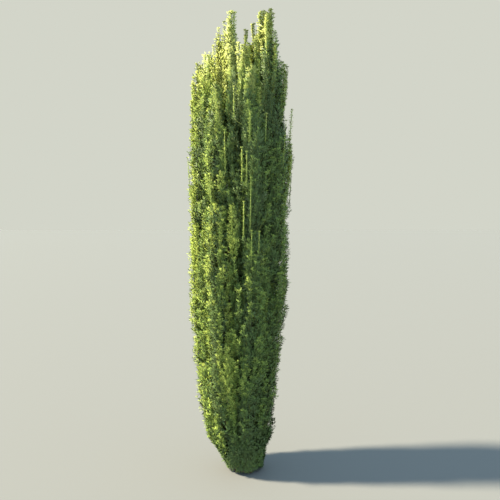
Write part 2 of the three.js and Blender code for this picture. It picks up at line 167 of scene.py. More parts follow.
def makePiece(name, vertices, faceSets, material, replaced, slot, normals=None):
    mesh = bpy.data.meshes.new(name)
    corners = np.concatenate([faces.ravel() for faces in faceSets]).astype(np.int32)
    sizes = np.concatenate([np.full(len(faces), faces.shape[1]) for faces in faceSets])
    starts = np.concatenate([[0], np.cumsum(sizes)[:-1]]).astype(np.int32)
    mesh.vertices.add(len(vertices))
    mesh.vertices.foreach_set("co", np.ascontiguousarray(vertices, np.float32).ravel())
    mesh.loops.add(len(corners))
    mesh.loops.foreach_set("vertex_index", corners)
    mesh.polygons.add(len(sizes))
    mesh.polygons.foreach_set("loop_start", starts)
    mesh.update(calc_edges=True)
    mesh.validate()
    mesh.polygons.foreach_set("use_smooth", np.full(len(mesh.polygons), True))
    if normals is not None:
        mesh.normals_split_custom_set_from_vertices(normals.astype(np.float32))
    mesh.materials.append(material)
    piece = bpy.data.objects.new(name, mesh)
    bpy.context.scene.collection.objects.link(piece)
    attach(piece, "root")
    if len(replaced):
        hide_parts(*replaced)
    print(f"  {name}: {int((sizes - 2).sum())} triangles")


def sectionRing(first, second, sides):  # round a section: cos angle * first + sin angle * second
    angle = np.arange(sides) * 2 * math.pi / sides
    return angle, np.cos(angle)[:, None] * first[..., None, :] + np.sin(angle)[:, None] * second[..., None, :]


def tubes(centres, radii, sides, relief=None):
    # Each tube is a round section carried along its path. centres (k, n, 3) and radii (k, n) belong together,
    # relief(angle, along, number) adds to the radius, and the ends are closed by one face each.
    count, stations, _ = centres.shape
    tangents = unit(np.gradient(centres, axis=1))
    hint, _ = acrossFrame(unit(centres[:, -1] - centres[:, 0]))
    second = unit(np.cross(tangents, hint[:, None]))
    angle, ring = sectionRing(unit(np.cross(second, tangents)), second, sides)
    radius = np.repeat(radii[:, :, None], sides, 2)
    if relief:
        steps = np.linalg.norm(np.diff(centres, axis=1), axis=-1)
        along = np.concatenate([np.zeros((count, 1)), np.cumsum(steps, 1)], 1)[:, :, None]
        radius = radius + relief(np.broadcast_to(angle, radius.shape), along, np.arange(count)[:, None, None])
    vertices = centres[:, :, None] + radius[..., None] * ring
    index = np.arange(count * stations * sides).reshape(count, stations, sides)
    after = np.roll(index, -1, axis=2)
    walls = np.stack([index[:, :-1], after[:, :-1], after[:, 1:], index[:, 1:]], -1).reshape(-1, 4)
    return vertices.reshape(-1, 3), [walls, index[:, 0, ::-1], index[:, -1]]


def cones(starts, tips, radius, sides=3):  # closed cones, each from a small round section to a point
    _, ring = sectionRing(*acrossFrame(unit(tips - starts)), sides)
    vertices = np.concatenate([starts[:, None] + ring * radius, tips[:, None]], 1)
    side = np.arange(sides)
    index = (np.arange(len(starts)) * (sides + 1))[:, None, None]
    walls = np.stack([(side + 1) % sides, side, np.full(sides, sides)], -1) + index
    return vertices.reshape(-1, 3), [walls.reshape(-1, 3), (side + index).reshape(-1, sides)]


def tapered(foot, tip, count, stations):  # the radii of several tubes that narrow evenly
    return np.tile(mix(foot, tip, np.linspace(0, 1, stations)), (count, 1))


def joined(sets):  # several (vertices, face sets) as one, with the corner numbers moved on
    vertices, faceSets, offset = [], [], 0
    for points, faces in sets:
        vertices.append(points)
        faceSets += [f + offset for f in faces]
        offset += len(points)
    return np.concatenate(vertices), faceSets


# Materials

def principled(name, colour, roughness, specular):
    material = bpy.data.materials.new(name)
    material.use_nodes = True
    shader = material.node_tree.nodes["Principled BSDF"]
    shader.inputs["Base Color"].default_value = (*colour, 1)
    shader.inputs["Roughness"].default_value = roughness
    shader.inputs["Specular IOR Level"].default_value = specular
    return material


def addNode(tree, kind, values=(), **settings):  # the settings come first, as they decide the inputs
    node = tree.nodes.new("ShaderNode" + kind)
    for name, value in settings.items():
        setattr(node, name, value)
    for entry, value in dict(values).items():
        node.inputs[entry].default_value = value
    return node


def linkUp(tree, *joins):  # each join: a node and its output, then a node and its input
    for source, output, target, entry in joins:
        tree.links.new(source.outputs[output], target.inputs[entry])


# Skeleton: the stems of the spires and the boughs that lead to them, by the solids' rule

rising = np.linspace(0, 1, 25)
spires = []


def ringLine(sector, footZ, topZ, sizes):  # close to the column's middle at its foot, then out to the ring
    z = mix(footZ, topZ, rising)
    radius = mix(sizes["footRadius"], ringRadius(z), smooth(z, footZ, footZ + sizes["settle"]))
    angle = np.radians(column["ringTurns"][sector] + swayAt(z, sector))
    return np.stack([middleX(z) + radius * np.cos(angle), radius * np.sin(angle), z], -1)


def crownLine(tip, footZ):  # straight towards its tip, drawn in towards the column's middle at its foot
    middle = middleX(footZ)
    draw = mix(crownSpires["footDraw"], 1, smooth(rising, 0, 1))
    return np.stack([middle + (tip[0] - middle) * draw, tip[1] * draw, mix(footZ, tip[2], rising)], -1)


def addSpire(kind, mark, line, sizes, tipFall, number):
    length = float(np.linalg.norm(np.diff(line, axis=0), axis=1).sum())
    spires.append(dict(name=f"foliage_{kind}_{mark}", kind=kind, line=line, length=length, tipFall=tipFall,
                       reach=sizes["reach"], stem=sizes["stem"], seed=sizes["firstSeed"] + number))


for i, (mark, tip) in enumerate(crownSpires["tips"].items()):
    footZ = crownSpires["footZ"] + crownSpires["footStep"] * ((i * 2) % 5)
    addSpire("crown", mark, crownLine(tip, footZ), crownSpires, crownSpires["tipFall"], i)
for kind, sizes in (("ring", ringSpires), ("low", lowSpires)):
    for i, topZ in enumerate(sizes["tops"]):
        footZ = sizes["footZ"] if kind == "low" else lowSpires["tops"][i] - sizes["footBelow"]
        addSpire(kind, i + 1, ringLine(i, footZ, topZ, sizes), sizes, sizes["tipFalls"][i], i)

spireNames = [s["name"] for s in spires]
spireLines, spireReach, spireTipFall, spireLength, spireSeed = (
    np.array([s[key] for s in spires]) for key in ("line", "reach", "tipFall", "length", "seed"))
spireFoot, spireTip = spireLines[:, 0, 2], spireLines[:, -1, 2]
isCrown = np.array([s["kind"] == "crown" for s in spires])
bulging = spireNames.index(f"foliage_ring_{bulge['sector'] + 1}")

boughPlan = dict(forkZ=0.118, belowFork=0.02, ringRadius=0.03, firstTurn=-145, turn=60, spread=1.5,
                 leaveShare=0.32, arriveShare=0.42, rise=0.43, sideLeave=0.25, pull=0.13, swing=0.05,
                 lowStart=0.042, lowShare=0.35, lowRise=0.004, lowPull=0.014,
                 order=["left_tall", "middle", "right_tall", "back_right", "back", "left_side"])


def footOf(name):  # a spire's foot and the direction in which its stem leaves
    line = spireLines[spireNames.index("foliage_" + name)]
    return line[0], unit(line[1] - line[0])


def mainBoughs():
    curves = []
    for i, mark in enumerate(boughPlan["order"]):
        foot, heading = footOf("crown_" + mark)
        out = levelAt(math.radians(boughPlan["firstTurn"] + i * boughPlan["turn"])) * boughPlan["ringRadius"]
        start = out + up * (boughPlan["forkZ"] - boughPlan["belowFork"])
        leave = out * boughPlan["spread"] + up * foot[2] * boughPlan["leaveShare"]
        curves.append([start, leave, foot - heading * foot[2] * boughPlan["arriveShare"], foot])
    return np.array(curves)


def ringBoughs(mains):
    # Each starts on the main bough that stands most nearly on its spire's side of the bundle.
    points = evenPoints(mains, 17)
    curves = []
    for i in range(len(ringSpires["tops"])):
        foot, heading = footOf(f"ring_{i + 1}")
        nearest = np.abs(points[:, :, 2] - (foot[2] - boughPlan["rise"])).argmin(1)
        at = points[np.arange(len(mains)), nearest]
        away = unit((foot - at.mean(0)) * flat)
        start = at[(unit((at - at.mean(0)) * flat) @ away).argmax()]
        leave = start + away * boughPlan["swing"]
        leave[2] = start[2] + boughPlan["rise"] * boughPlan["sideLeave"]
        curves.append([start, leave, foot - heading * boughPlan["pull"], foot])
    return np.array(curves)


def lowBoughs():
    curves = []
    for i in range(len(lowSpires["tops"])):
        foot, heading = footOf(f"low_{i + 1}")
        start = foot * boughPlan["lowShare"]
        start[2] = boughPlan["lowStart"]
        leave = mix(start, foot, 0.5)
        leave[2] = boughPlan["lowStart"] + boughPlan["lowRise"]
        curves.append([start, leave, foot - heading * boughPlan["lowPull"], foot])
    return np.array(curves)


mainCurves = mainBoughs()
ringCurves = ringBoughs(mainCurves)
lowCurves = lowBoughs()
report("skeleton")


# Each spire's own space, read for many points at once

def atHeight(z):  # every spire's stem at height z (n): points (n, spires, 2), clamped to the stem's ends
    x = np.stack([np.interp(z, line[:, 2], line[:, 0]) for line in spireLines], -1)
    y = np.stack([np.interp(z, line[:, 2], line[:, 1]) for line in spireLines], -1)
    return np.stack([x, y], -1)


def stemAt(owner, z):  # the stem of each point's own spire at height z
    return np.concatenate([atHeight(z)[np.arange(len(z)), owner], z[:, None]], -1)


def distances(points):  # from each point to each stem: level distance, and height past the stem's end
    level = np.linalg.norm(points[:, None, :2] - atHeight(points[:, 2]), axis=-1)
    beyond = np.maximum(spireFoot - points[:, None, 2], points[:, None, 2] - spireTip)
    return np.hypot(level, np.maximum(beyond, 0))


def isFree(points, owner, margin):  # nearer to its own spire's stem than to any other, by a margin
    toStems = distances(points)
    rows = np.arange(len(points))
    own = toStems[rows, owner].copy()
    toStems[rows, owner] = np.inf
    return (toStems.min(1) > own + margin) & (points[:, 2] > growth["lowestZ"])


def swelling(z):  # a soft hump in the reach at one height and a soft hollow above it
    hump = np.exp(-((z - bulge["z"]) / bulge["height"]) ** 2)
    hollow = np.exp(-((z - bulge["z"] - bulge["above"]) / bulge["height"]) ** 2)
    return 1 + bulge["share"] * hump - bulge["drawnIn"] * hollow


def insetAt(owner, z):  # how far inside the ring the stem of a low or ring spire still stands
    stem = stemAt(owner, z)
    beside = np.hypot(stem[:, 0] - middleX(z), stem[:, 1])
    return np.where(isCrown[owner], 0, np.maximum(ringRadius(z) - beside, 0))


def reachAt(owner, z):  # how far a spire's shoots reach from its stem at height z
    fromFoot = z - spireFoot[owner]
    fromTip = (spireTip[owner] - z) / spireTipFall[owner]
    rise = mix(spireOutline["atFoot"], 1, smooth(fromFoot, 0, spireOutline["footRise"]))
    fall = mix(spireOutline["atTip"], 1, smooth(fromTip, 0, 1))
    swell = np.where(owner == bulging, swelling(z), 1)
    return (spireReach[owner] + insetAt(owner, z)) * np.minimum(rise, fall) * swell


def fromStem(owner, points):  # level directions from each point's own stem
    return unit((points - stemAt(owner, points[:, 2])) * flat)


def awayFromMiddle(points):  # level directions from the column's middle
    return unit(np.stack([points[:, 0] - middleX(points[:, 2]), points[:, 1], points[:, 2] * 0], -1))


def turned(directions, angle):  # level directions turned by an angle round Z
    c, s = np.cos(angle), np.sin(angle)
    x, y = directions[:, 0], directions[:, 1]
    return np.stack([c * x - s * y, s * x + c * y, np.zeros_like(x)], -1)


def drawnIn(owner, z, side, room, margin, least=0.006, shrink=0.88, steps=14):
    # How far out a level direction is free: the room, made smaller until its end is in the spire's own space.
    stem = stemAt(owner, z)
    for _ in range(steps):
        blocked = ~isFree(stem + side * room[:, None], owner, margin) & (room > least)
        room = np.where(blocked, room * shrink, room)
    return room


# How far from the column's middle the lowest sprays may reach, by height.
footEdge = [(0, 0.084), (0.05, 0.1), (0.1, 0.118), (0.14, 0.138), (0.21, 0.18), (0.26, 0.4)]


def withinFoot(curves):  # points drawn in level to the foot's edge, and up to just above the ground
    drawn = curves.copy()
    drawn[..., 2] = np.maximum(curves[..., 2], growth["lowestZ"])
    middle = middleX(drawn[..., 2])
    beside = np.hypot(curves[..., 0] - middle, curves[..., 1])
    share = np.minimum(1, reading(footEdge, drawn[..., 2]) / np.maximum(beside, 0.001))
    drawn[..., 0] = middle + (curves[..., 0] - middle) * share
    drawn[..., 1] = curves[..., 1] * share
    return drawn


# Growth. A spray leaves its spire's stem, turns upright and ends inside the edge of the spire's space; side
# shoots stand off its outer part. Lengths in metres, turns in degrees. Every layer's sprays take their sides
# in turn from a few ropes round the stem, so that a spire reads as upright ropes with furrows between them.
# foot is where a spray starts, as a share of its way out. firstRise is how far it has risen where it turns
# up, and arrive how long its upright end is, as shares of its rise. Below 1.5 m the right flank is fuller.
growth = dict(
    lowestZ=0.012,
    outer=dict(perMetre=78, sweep=225, ropes=5, jitter=9, rise=(0.1, 0.19), out=(0.56, 0.92), leave=0.5,
               margin=0.005, flare=5, shoots=9, shootFrom=0.28, shootLength=(0.05, 0.03), shootSpread=33,
               inwards=-0.3, salt=0, tuft=0.24),
    inner=dict(perMetre=56, sweep=360, ropes=9, jitter=20, rise=(0.08, 0.14), out=(0.35, 0.85), leave=0.4,
               margin=0.001, flare=22, shoots=4, shootFrom=0.35, shootLength=(0.055, 0.045), shootSpread=55,
               beyond=-0.03, salt=400, tuft=0),
    ropeWave=0.19, ropeWander=12, tuftWave=0.022, crownRopes=5, rightFlank=0.2,
    belowTip=dict(ring=0.03, low=0.03, crown=0.1), tipsVary=(0.7, 1.7), lastStart=0.1,
    foot=0.12, firstRise=0.16, arrive=0.42)

# Side shoots: their curve's points as shares of the length along the heading, and upwards, the share of the
# spray where the last one stands, how lengths and spreads vary, and how far out they may end, as a share of
# the spire's reach.
sideShoot = dict(curve=[(0, 0), (0.36, 0), (0.7, 0.06), (0.8, 0.2)], last=0.97, lengthVaries=(0.7, 1.25),
                 spreadVaries=(0.7, 1.3), farthest=1.15, shorter=0.5)


def spraysOf(plan):
    # One curve per spray: from beside the stem, out by leave of the way, and then up to the tip. Its turn
    # is that of its rope, which wanders in a slow wave with height, and a jitter of its own. Along a rope the
    # sprays stand further out and less far out in turn, by tuft, so that the rope is a row of tufts.
    counts = np.round(spireLength * plan["perMetre"]).astype(int)
    owner, number = numbered(counts)
    seed = spireSeed[owner] + plan["salt"]
    share = (number + vary(seed, number + 11)) / counts[owner]
    footZ, tipZ = spireFoot[owner], spireTip[owner]
    below = np.array([growth["belowTip"][s["kind"]] for s in spires])[owner]
    startZ = mix(footZ, tipZ - growth["lastStart"] - below, share)
    highest = tipZ - below * pick(growth["tipsVary"], seed, number + 31)
    endZ = np.minimum(startZ + pick(plan["rise"], seed, number + 29), highest)
    ropes = np.where(isCrown[owner], growth["crownRopes"], plan["ropes"])
    sweep = np.where(isCrown[owner], 360, plan["sweep"])
    rope = number % ropes
    wander = growth["ropeWander"] * np.sin(startZ / growth["ropeWave"] + seed + rope * 2.1)
    jitter = plan["jitter"] * (2 * vary(seed, number + 37) - 1)
    turn = np.radians(((rope + 0.5) / ropes - 0.5) * sweep + wander + jitter)
    start = stemAt(owner, startZ)
    side = turned(awayFromMiddle(start), turn)
    reach = reachAt(owner, endZ)
    room = drawnIn(owner, endZ, side, reach, plan["margin"])
    tufted = 0.5 + 0.5 * np.sin(endZ / growth["tuftWave"] + seed + rope * 1.7)
    fuller = 1 + growth["rightFlank"] * smooth(side[:, 0], 0.3, 0.9) * fading(endZ, 1.45, 1.6)
    out = room * fuller * pick(plan["out"], seed, number + 47) * (1 - plan["tuft"] * (1 - tufted))
    depth = out / reach
    out, length = out[:, None], (endZ - startZ)[:, None]
    tip = stemAt(owner, endZ) + side * out
    flare = math.radians(plan["flare"])
    heading = up * math.cos(flare) + side * math.sin(flare)
    beside = start + side * out * growth["foot"]
    leave = start + side * out * (growth["foot"] + plan["leave"]) + up * length * growth["firstRise"]
    curves = np.stack([beside, leave, tip - heading * length * growth["arrive"], tip], 1)
    return curves, owner, depth, rope, tufted, seed + number * 0.37


def shootsOn(curves, owner, seeds, plan, scale=None):
    # Side shoots by the golden turn round each spray, longest at the foot, leaving at the spread and
    # curving up. One that points back at its own stem is left out, by inwards. One that would leave the
    # spire's space is tried at half its length and then dropped. beyond is how far past the spire's reach it
    # may stand, crossing how far into its neighbour's space, and scale shortens them spray by spray.
    count = plan["shoots"]
    rows = np.repeat(np.arange(len(curves)), count)
    number = np.tile(np.arange(count), len(curves))
    owners, seeds = owner[rows], seeds[rows]
    share = (number + vary(seeds, number + 71)) / count
    u = mix(plan["shootFrom"], sideShoot["last"], share)[:, None]
    root = curvePoints(curves[rows], u)[:, 0]
    along = curveTangents(curves[rows], u)[:, 0]
    radial = radialAt(along, number * goldenTurn + seeds * 7.0)
    length = mix(*plan["shootLength"], share) * pick(sideShoot["lengthVaries"], seeds, number + 61)
    if scale is not None:
        length = length * scale[rows]
    spread = plan["shootSpread"] * pick(sideShoot["spreadVaries"], seeds, number + 67)
    spread = np.radians(spread)[:, None]
    heading = along * np.cos(spread) + radial * np.sin(spread)
    farthest = spireReach[owners] * sideShoot["farthest"] + insetAt(owners, root[:, 2])
    farthest = farthest + plan.get("beyond", 0)
    forward, rise = sideShoot["curve"][-1]
    kept = np.zeros(len(rows), bool)
    for _ in range(2):
        tip = root + (heading * forward + up * rise) * length[:, None]
        inside = distances(tip)[np.arange(len(tip)), owners] < farthest
        free = isFree(tip, owners, -plan.get("crossing", 0.002)) & inside
        length = np.where(free | kept, length, length * sideShoot["shorter"])
        kept |= free
    kept &= (radial * fromStem(owners, root)).sum(1) > plan.get("inwards", -1)
    size = length[:, None]
    made = [root + heading * size * forward + up * size * rise for forward, rise in sideShoot["curve"]]
    return np.stack(made, 1)[kept], owners[kept], rows[kept], (seeds + number * 0.91)[kept]


shootSets = []


def addShoots(kind, curves, owner, seeds, tone, **look):
    # look: bare share of the length below the first needle, radii of foot and tip, needle length, width and
    # spacing, needle angles at foot and tip, how much lighter the tip is than the foot, needles in the
    # rosette at the tip, and the wood's kind.
    values = dict(bare=0.06, foot=0.0011, tip=0.0007, needle=0.019, width=0.003625, spacing=0.003,
                  angles=(56, 30), lighter=0.24, rosette=0, wood="shoots_side")
    values.update(look)
    shootSets.append(dict(kind=kind, curves=curves, owner=owner, seeds=seeds, tone=tone, **values))


def addSprays(kind, curves, owner, seeds, tone, plan, look, sideLook, scale=None, sideVaries=0, atFoot=False):
    # Sprays with their side shoots, whose tone varies round that of their spray.
    side, sideOwner, rows, sideSeeds = shootsOn(curves, owner, seeds, plan, scale)
    if atFoot:
        side = withinFoot(side)
    addShoots(kind, curves, owner, seeds, tone, **look)
    sideTone = tone[rows] + sideVaries * swing(sideSeeds, 9)
    addShoots(kind + "Side", side, sideOwner, sideSeeds, sideTone, **sideLook)


# Tones run from 0, the oldest and darkest growth, to 1, the youngest. What follows sets them by place, partly
# as painted light and shade.

def youthAndPaintedLight(tips):  # the share of this year's growth, more towards the top, and there more on the sunny side, which is partly painted light: it lightens the sunlit left and the crown's lit heads
    x, z = tips[:, 0], tips[:, 2]
    high = smooth(z, 2.2, 2.38) * fading(x, 0.095, 0.12)
    paintedSunlight = np.maximum(np.maximum(smooth(-x, -0.12, 0.06), high), smooth(z, 2.28, 2.4))
    return smooth(z, 1.9, 2.3) * mix(0.12, 1, paintedSunlight)


# Painted light and shade on the front: darker where shade falls in its furrows and lighter on its sunlit
# ropes. The place's x and z, its half width and half height, and how much darker, or lighter below 0.
paintedFaceShades = [
    (-0.048, 1.73, 0.034, 0.4, 0.3), (-0.012, 1.93, 0.038, 0.2, 0.48), (-0.075, 2.06, 0.028, 0.07, 0.35),
    (0.058, 1.62, 0.03, 0.36, 0.42), (0.055, 1.28, 0.025, 0.07, 0.25), (-0.199, 1.82, 0.026, 0.13, 0.5),
    (-0.153, 1.66, 0.03, 0.16, -0.34), (-0.12, 1.78, 0.02, 0.07, 0.38), (-0.12, 1.94, 0.02, 0.07, -0.5),
    (-0.25, 1.43, 0.03, 0.22, -0.24), (-0.152, 0.82, 0.018, 0.46, 0.9), (-0.1, 0.76, 0.026, 0.4, -0.42),
    (-0.208, 0.8, 0.02, 0.34, -0.12), (0.005, 0.38, 0.04, 0.16, 0.26), (0.005, 0.875, 0.04, 0.09, 0.34),
    (-0.046, 1.05, 0.03, 0.18, 0.16), (0.09, 2.18, 0.03, 0.07, 0.36), (0.04, 2.13, 0.025, 0.08, -0.3),
    (-0.05, 2.15, 0.03, 0.05, 0.3), (0.005, 2.17, 0.025, 0.05, 0.3), (-0.1, 0.23, 0.04, 0.08, 0.4),
]


def paintedFaceShade(points):  # the painted shade on the front, the sum over places: amount * exp(-((x - place) / half)^2 - ((z - place) / half)^4)
    x, y, z = points.T
    shade = np.zeros(len(points))
    for placeX, placeZ, halfWidth, halfHeight, amount in paintedFaceShades:
        shade += amount * np.exp(-((x - placeX) / halfWidth) ** 2 - ((z - placeZ) / halfHeight) ** 4)
    return shade * smooth(-y, 0.03, 0.1)


def rightShade(points):  # up to 1 where the crown's left group keeps the sun off its right group
    across = smooth(points[:, 0], 0.085, 0.115) * (1 - 0.5 * smooth(points[:, 0], 0.14, 0.16))
    return across * smooth(points[:, 2], 1.6, 1.9) * fading(points[:, 2], 2.2, 2.32)


innerLook = dict(width=0.007, wood="twigs_inner")


def growOuter():
    # Lighter towards the faces and at the top; lighter on the left edge and darker near the ground and on the
    # right as painted light and shade, with painted shade in the front's furrows and on the crown's right
    # group. Ropes and tufts differ in tone, most of all low down on the left.
    plan = growth["outer"]
    curves, owner, depth, rope, tufted, seeds = spraysOf(plan)
    tip = curves[:, 3]
    x, z = tip[:, 0], tip[:, 2]
    ofRope = 0.26 * swing(spireSeed[owner], rope + 90) + 0.16 * (tufted - 0.5)
    ofRope = ofRope * mix(mix(2.1, 1.15, smooth(z, 1.1, 1.5)), 0.6, smooth(x, -0.12, 0.02))
    # Painted shade and light: darker low down and on the shaded right, lighter on the sunlit left edge.
    paintedShade = 0.24 * fading(z, 0.12, 0.55) + 0.06 * fading(z, 0.9, 1.8)
    paintedShade += 0.28 * smooth(x, -0.02, 0.16)
    paintedShade -= 0.18 * smooth(-x, 0.19, 0.25) * fading(z, 1.9, 2.1)
    paintedShade += paintedFaceShade(tip) + 0.26 * rightShade(tip)
    tone = mix(0.37, 0.7, smooth(depth, 0.4, 0.85)) + 0.6 * youthAndPaintedLight(tip) + ofRope - paintedShade
    tone += 0.1 * swing(seeds, 5)
    look = dict(bare=0.4, foot=0.002, tip=0.0009, rosette=7, wood="shoots_main")
    scale = mix(0.5, 1, reachAt(owner, z) / spireReach[owner])
    addSprays("outer", curves, owner, seeds, tone, plan, look, dict(rosette=3), scale, 0.14)


def growInner():
    plan = growth["inner"]
    curves, owner, _, _, _, seeds = spraysOf(plan)
    tip = curves[:, 3]
    # Lighter in the crown by the young share, partly as painted light on needles that lie in shade.
    tone = 0.1 + 0.16 * vary(seeds, 5) + 0.85 * youthAndPaintedLight(tip)
    sideLook = dict(spacing=0.005, needle=0.032, lighter=0.1, **innerLook)
    look = dict(bare=0.2, foot=0.0022, tip=0.0009, **sideLook)
    scale = mix(0.5, 1, reachAt(owner, tip[:, 2]) / spireReach[owner])
    addSprays("inner", curves, owner, seeds, tone, plan, look, sideLook, scale)


# Heart: sparse dark sprays on the boughs inside the column, which close the view between the spires.
heart = dict(every=0.012, length=(0.06, 0.11), rise=38, mostOut=0.19, lowestTip=0.12)


def growHeart():
    rise = math.radians(heart["rise"])
    for salt, boughs in enumerate((mainCurves, ringCurves)):
        counts = np.maximum(2, np.round(curveLengths(boughs) / heart["every"])).astype(int)
        row, number = numbered(counts)
        root = curvePoints(boughs[row], ((number + 0.5) / counts[row])[:, None])[:, 0]
        seeds = 2000.0 + 100 * salt + row * 13 + number * 0.37
        length = pick(heart["length"], seeds, 3)[:, None]
        heading = levelAt(number * goldenTurn + row * 1.3 + salt) * math.cos(rise) + up * math.sin(rise)
        tip = root + heading * length
        beside = np.hypot(tip[:, 0] - middleX(tip[:, 2]), tip[:, 1])
        kept = (beside < heart["mostOut"]) & (tip[:, 2] > heart["lowestTip"])
        curves = np.stack([root, root + heading * length * 0.4, tip - up * length * 0.2, tip], 1)[kept]
        addShoots("heart", curves, distances(tip[kept]).argmin(1), seeds[kept], 0.12 * vary(seeds[kept], 5),
                  bare=0.1, foot=0.0016, needle=0.034, spacing=0.0062, lighter=0.05, **innerLook)


# Sprays between neighbouring spires of the ring. They start near the column's middle, rise steeply and fill
# the furrows up to a little inside the spires' faces; wider furrows get more of them. crowded above 1 brings
# them closer together near the foot.
between = dict(z=(0.07, 2.14), perMetre=72, crowded=1.2, fullGap=56, rise=(0.1, 0.16), out=(-0.025, 0.05),
               wander=6, shoots=6, shootFrom=0.25, shootLength=(0.05, 0.03), shootSpread=38, inwards=-0.6,
               beyond=0.03, crossing=0.008)


def growBetween():
    turns = np.array(column["ringTurns"], float)
    gaps = np.diff(np.append(turns, turns[0] + 360))
    height = between["z"][1] - between["z"][0]
    sector, number = numbered(np.round(height * between["perMetre"] * gaps / between["fullGap"]).astype(int))
    seeds = 4000.0 + sector * 37 + number * 0.53
    share = (number + vary(seeds, 1)) / (number.max() * gaps[sector] / gaps.max() + 1)
    endZ = mix(*between["z"], np.minimum(share, 1) ** between["crowded"])
    rise = np.minimum(pick(between["rise"], seeds, 2), endZ - 0.02)[:, None]
    wander = between["wander"] * (2 * vary(seeds, 3) - 1)
    side = levelAt(np.radians(turns[sector] + gaps[sector] / 2 + swayAt(endZ, sector) + wander))
    deep = vary(seeds, 4)
    radius = (ringRadius(endZ) + mix(*between["out"], deep))[:, None]
    middle = np.stack([middleX(endZ), endZ * 0, endZ], -1)
    tip = middle + side * radius
    start = middle + side * radius * 0.5 - up * rise
    curves = np.stack([start, mix(start, tip, 0.5) - up * rise * 0.3, tip - up * rise * 0.4, tip], 1)
    x, z = tip[:, 0], tip[:, 2]
    # The young share lightens them in the crown, partly as painted light. Painted shade darkens them on the
    # shaded right, near the ground, in the front's furrows, on the crown's right group and in the furrows of
    # the sunlit left.
    tone = mix(0.34, 0.62, deep) + 0.12 * swing(seeds, 5) + 0.45 * youthAndPaintedLight(tip)
    tone -= 0.18 * smooth(x, -0.02, 0.16) + 0.26 * fading(z, 0.12, 0.4)
    tone -= 1.3 * paintedFaceShade(tip) + 0.2 * rightShade(tip)
    tone -= 0.2 * smooth(-x, 0.08, 0.14) * fading(z, 1.9, 2.1)
    look = dict(bare=0.35, foot=0.0018, tip=0.0009, rosette=5, wood="shoots_main")
    addSprays("between", withinFoot(curves), distances(tip).argmin(1), seeds, tone, between, look, {},
              sideVaries=0.14, atFoot=True)
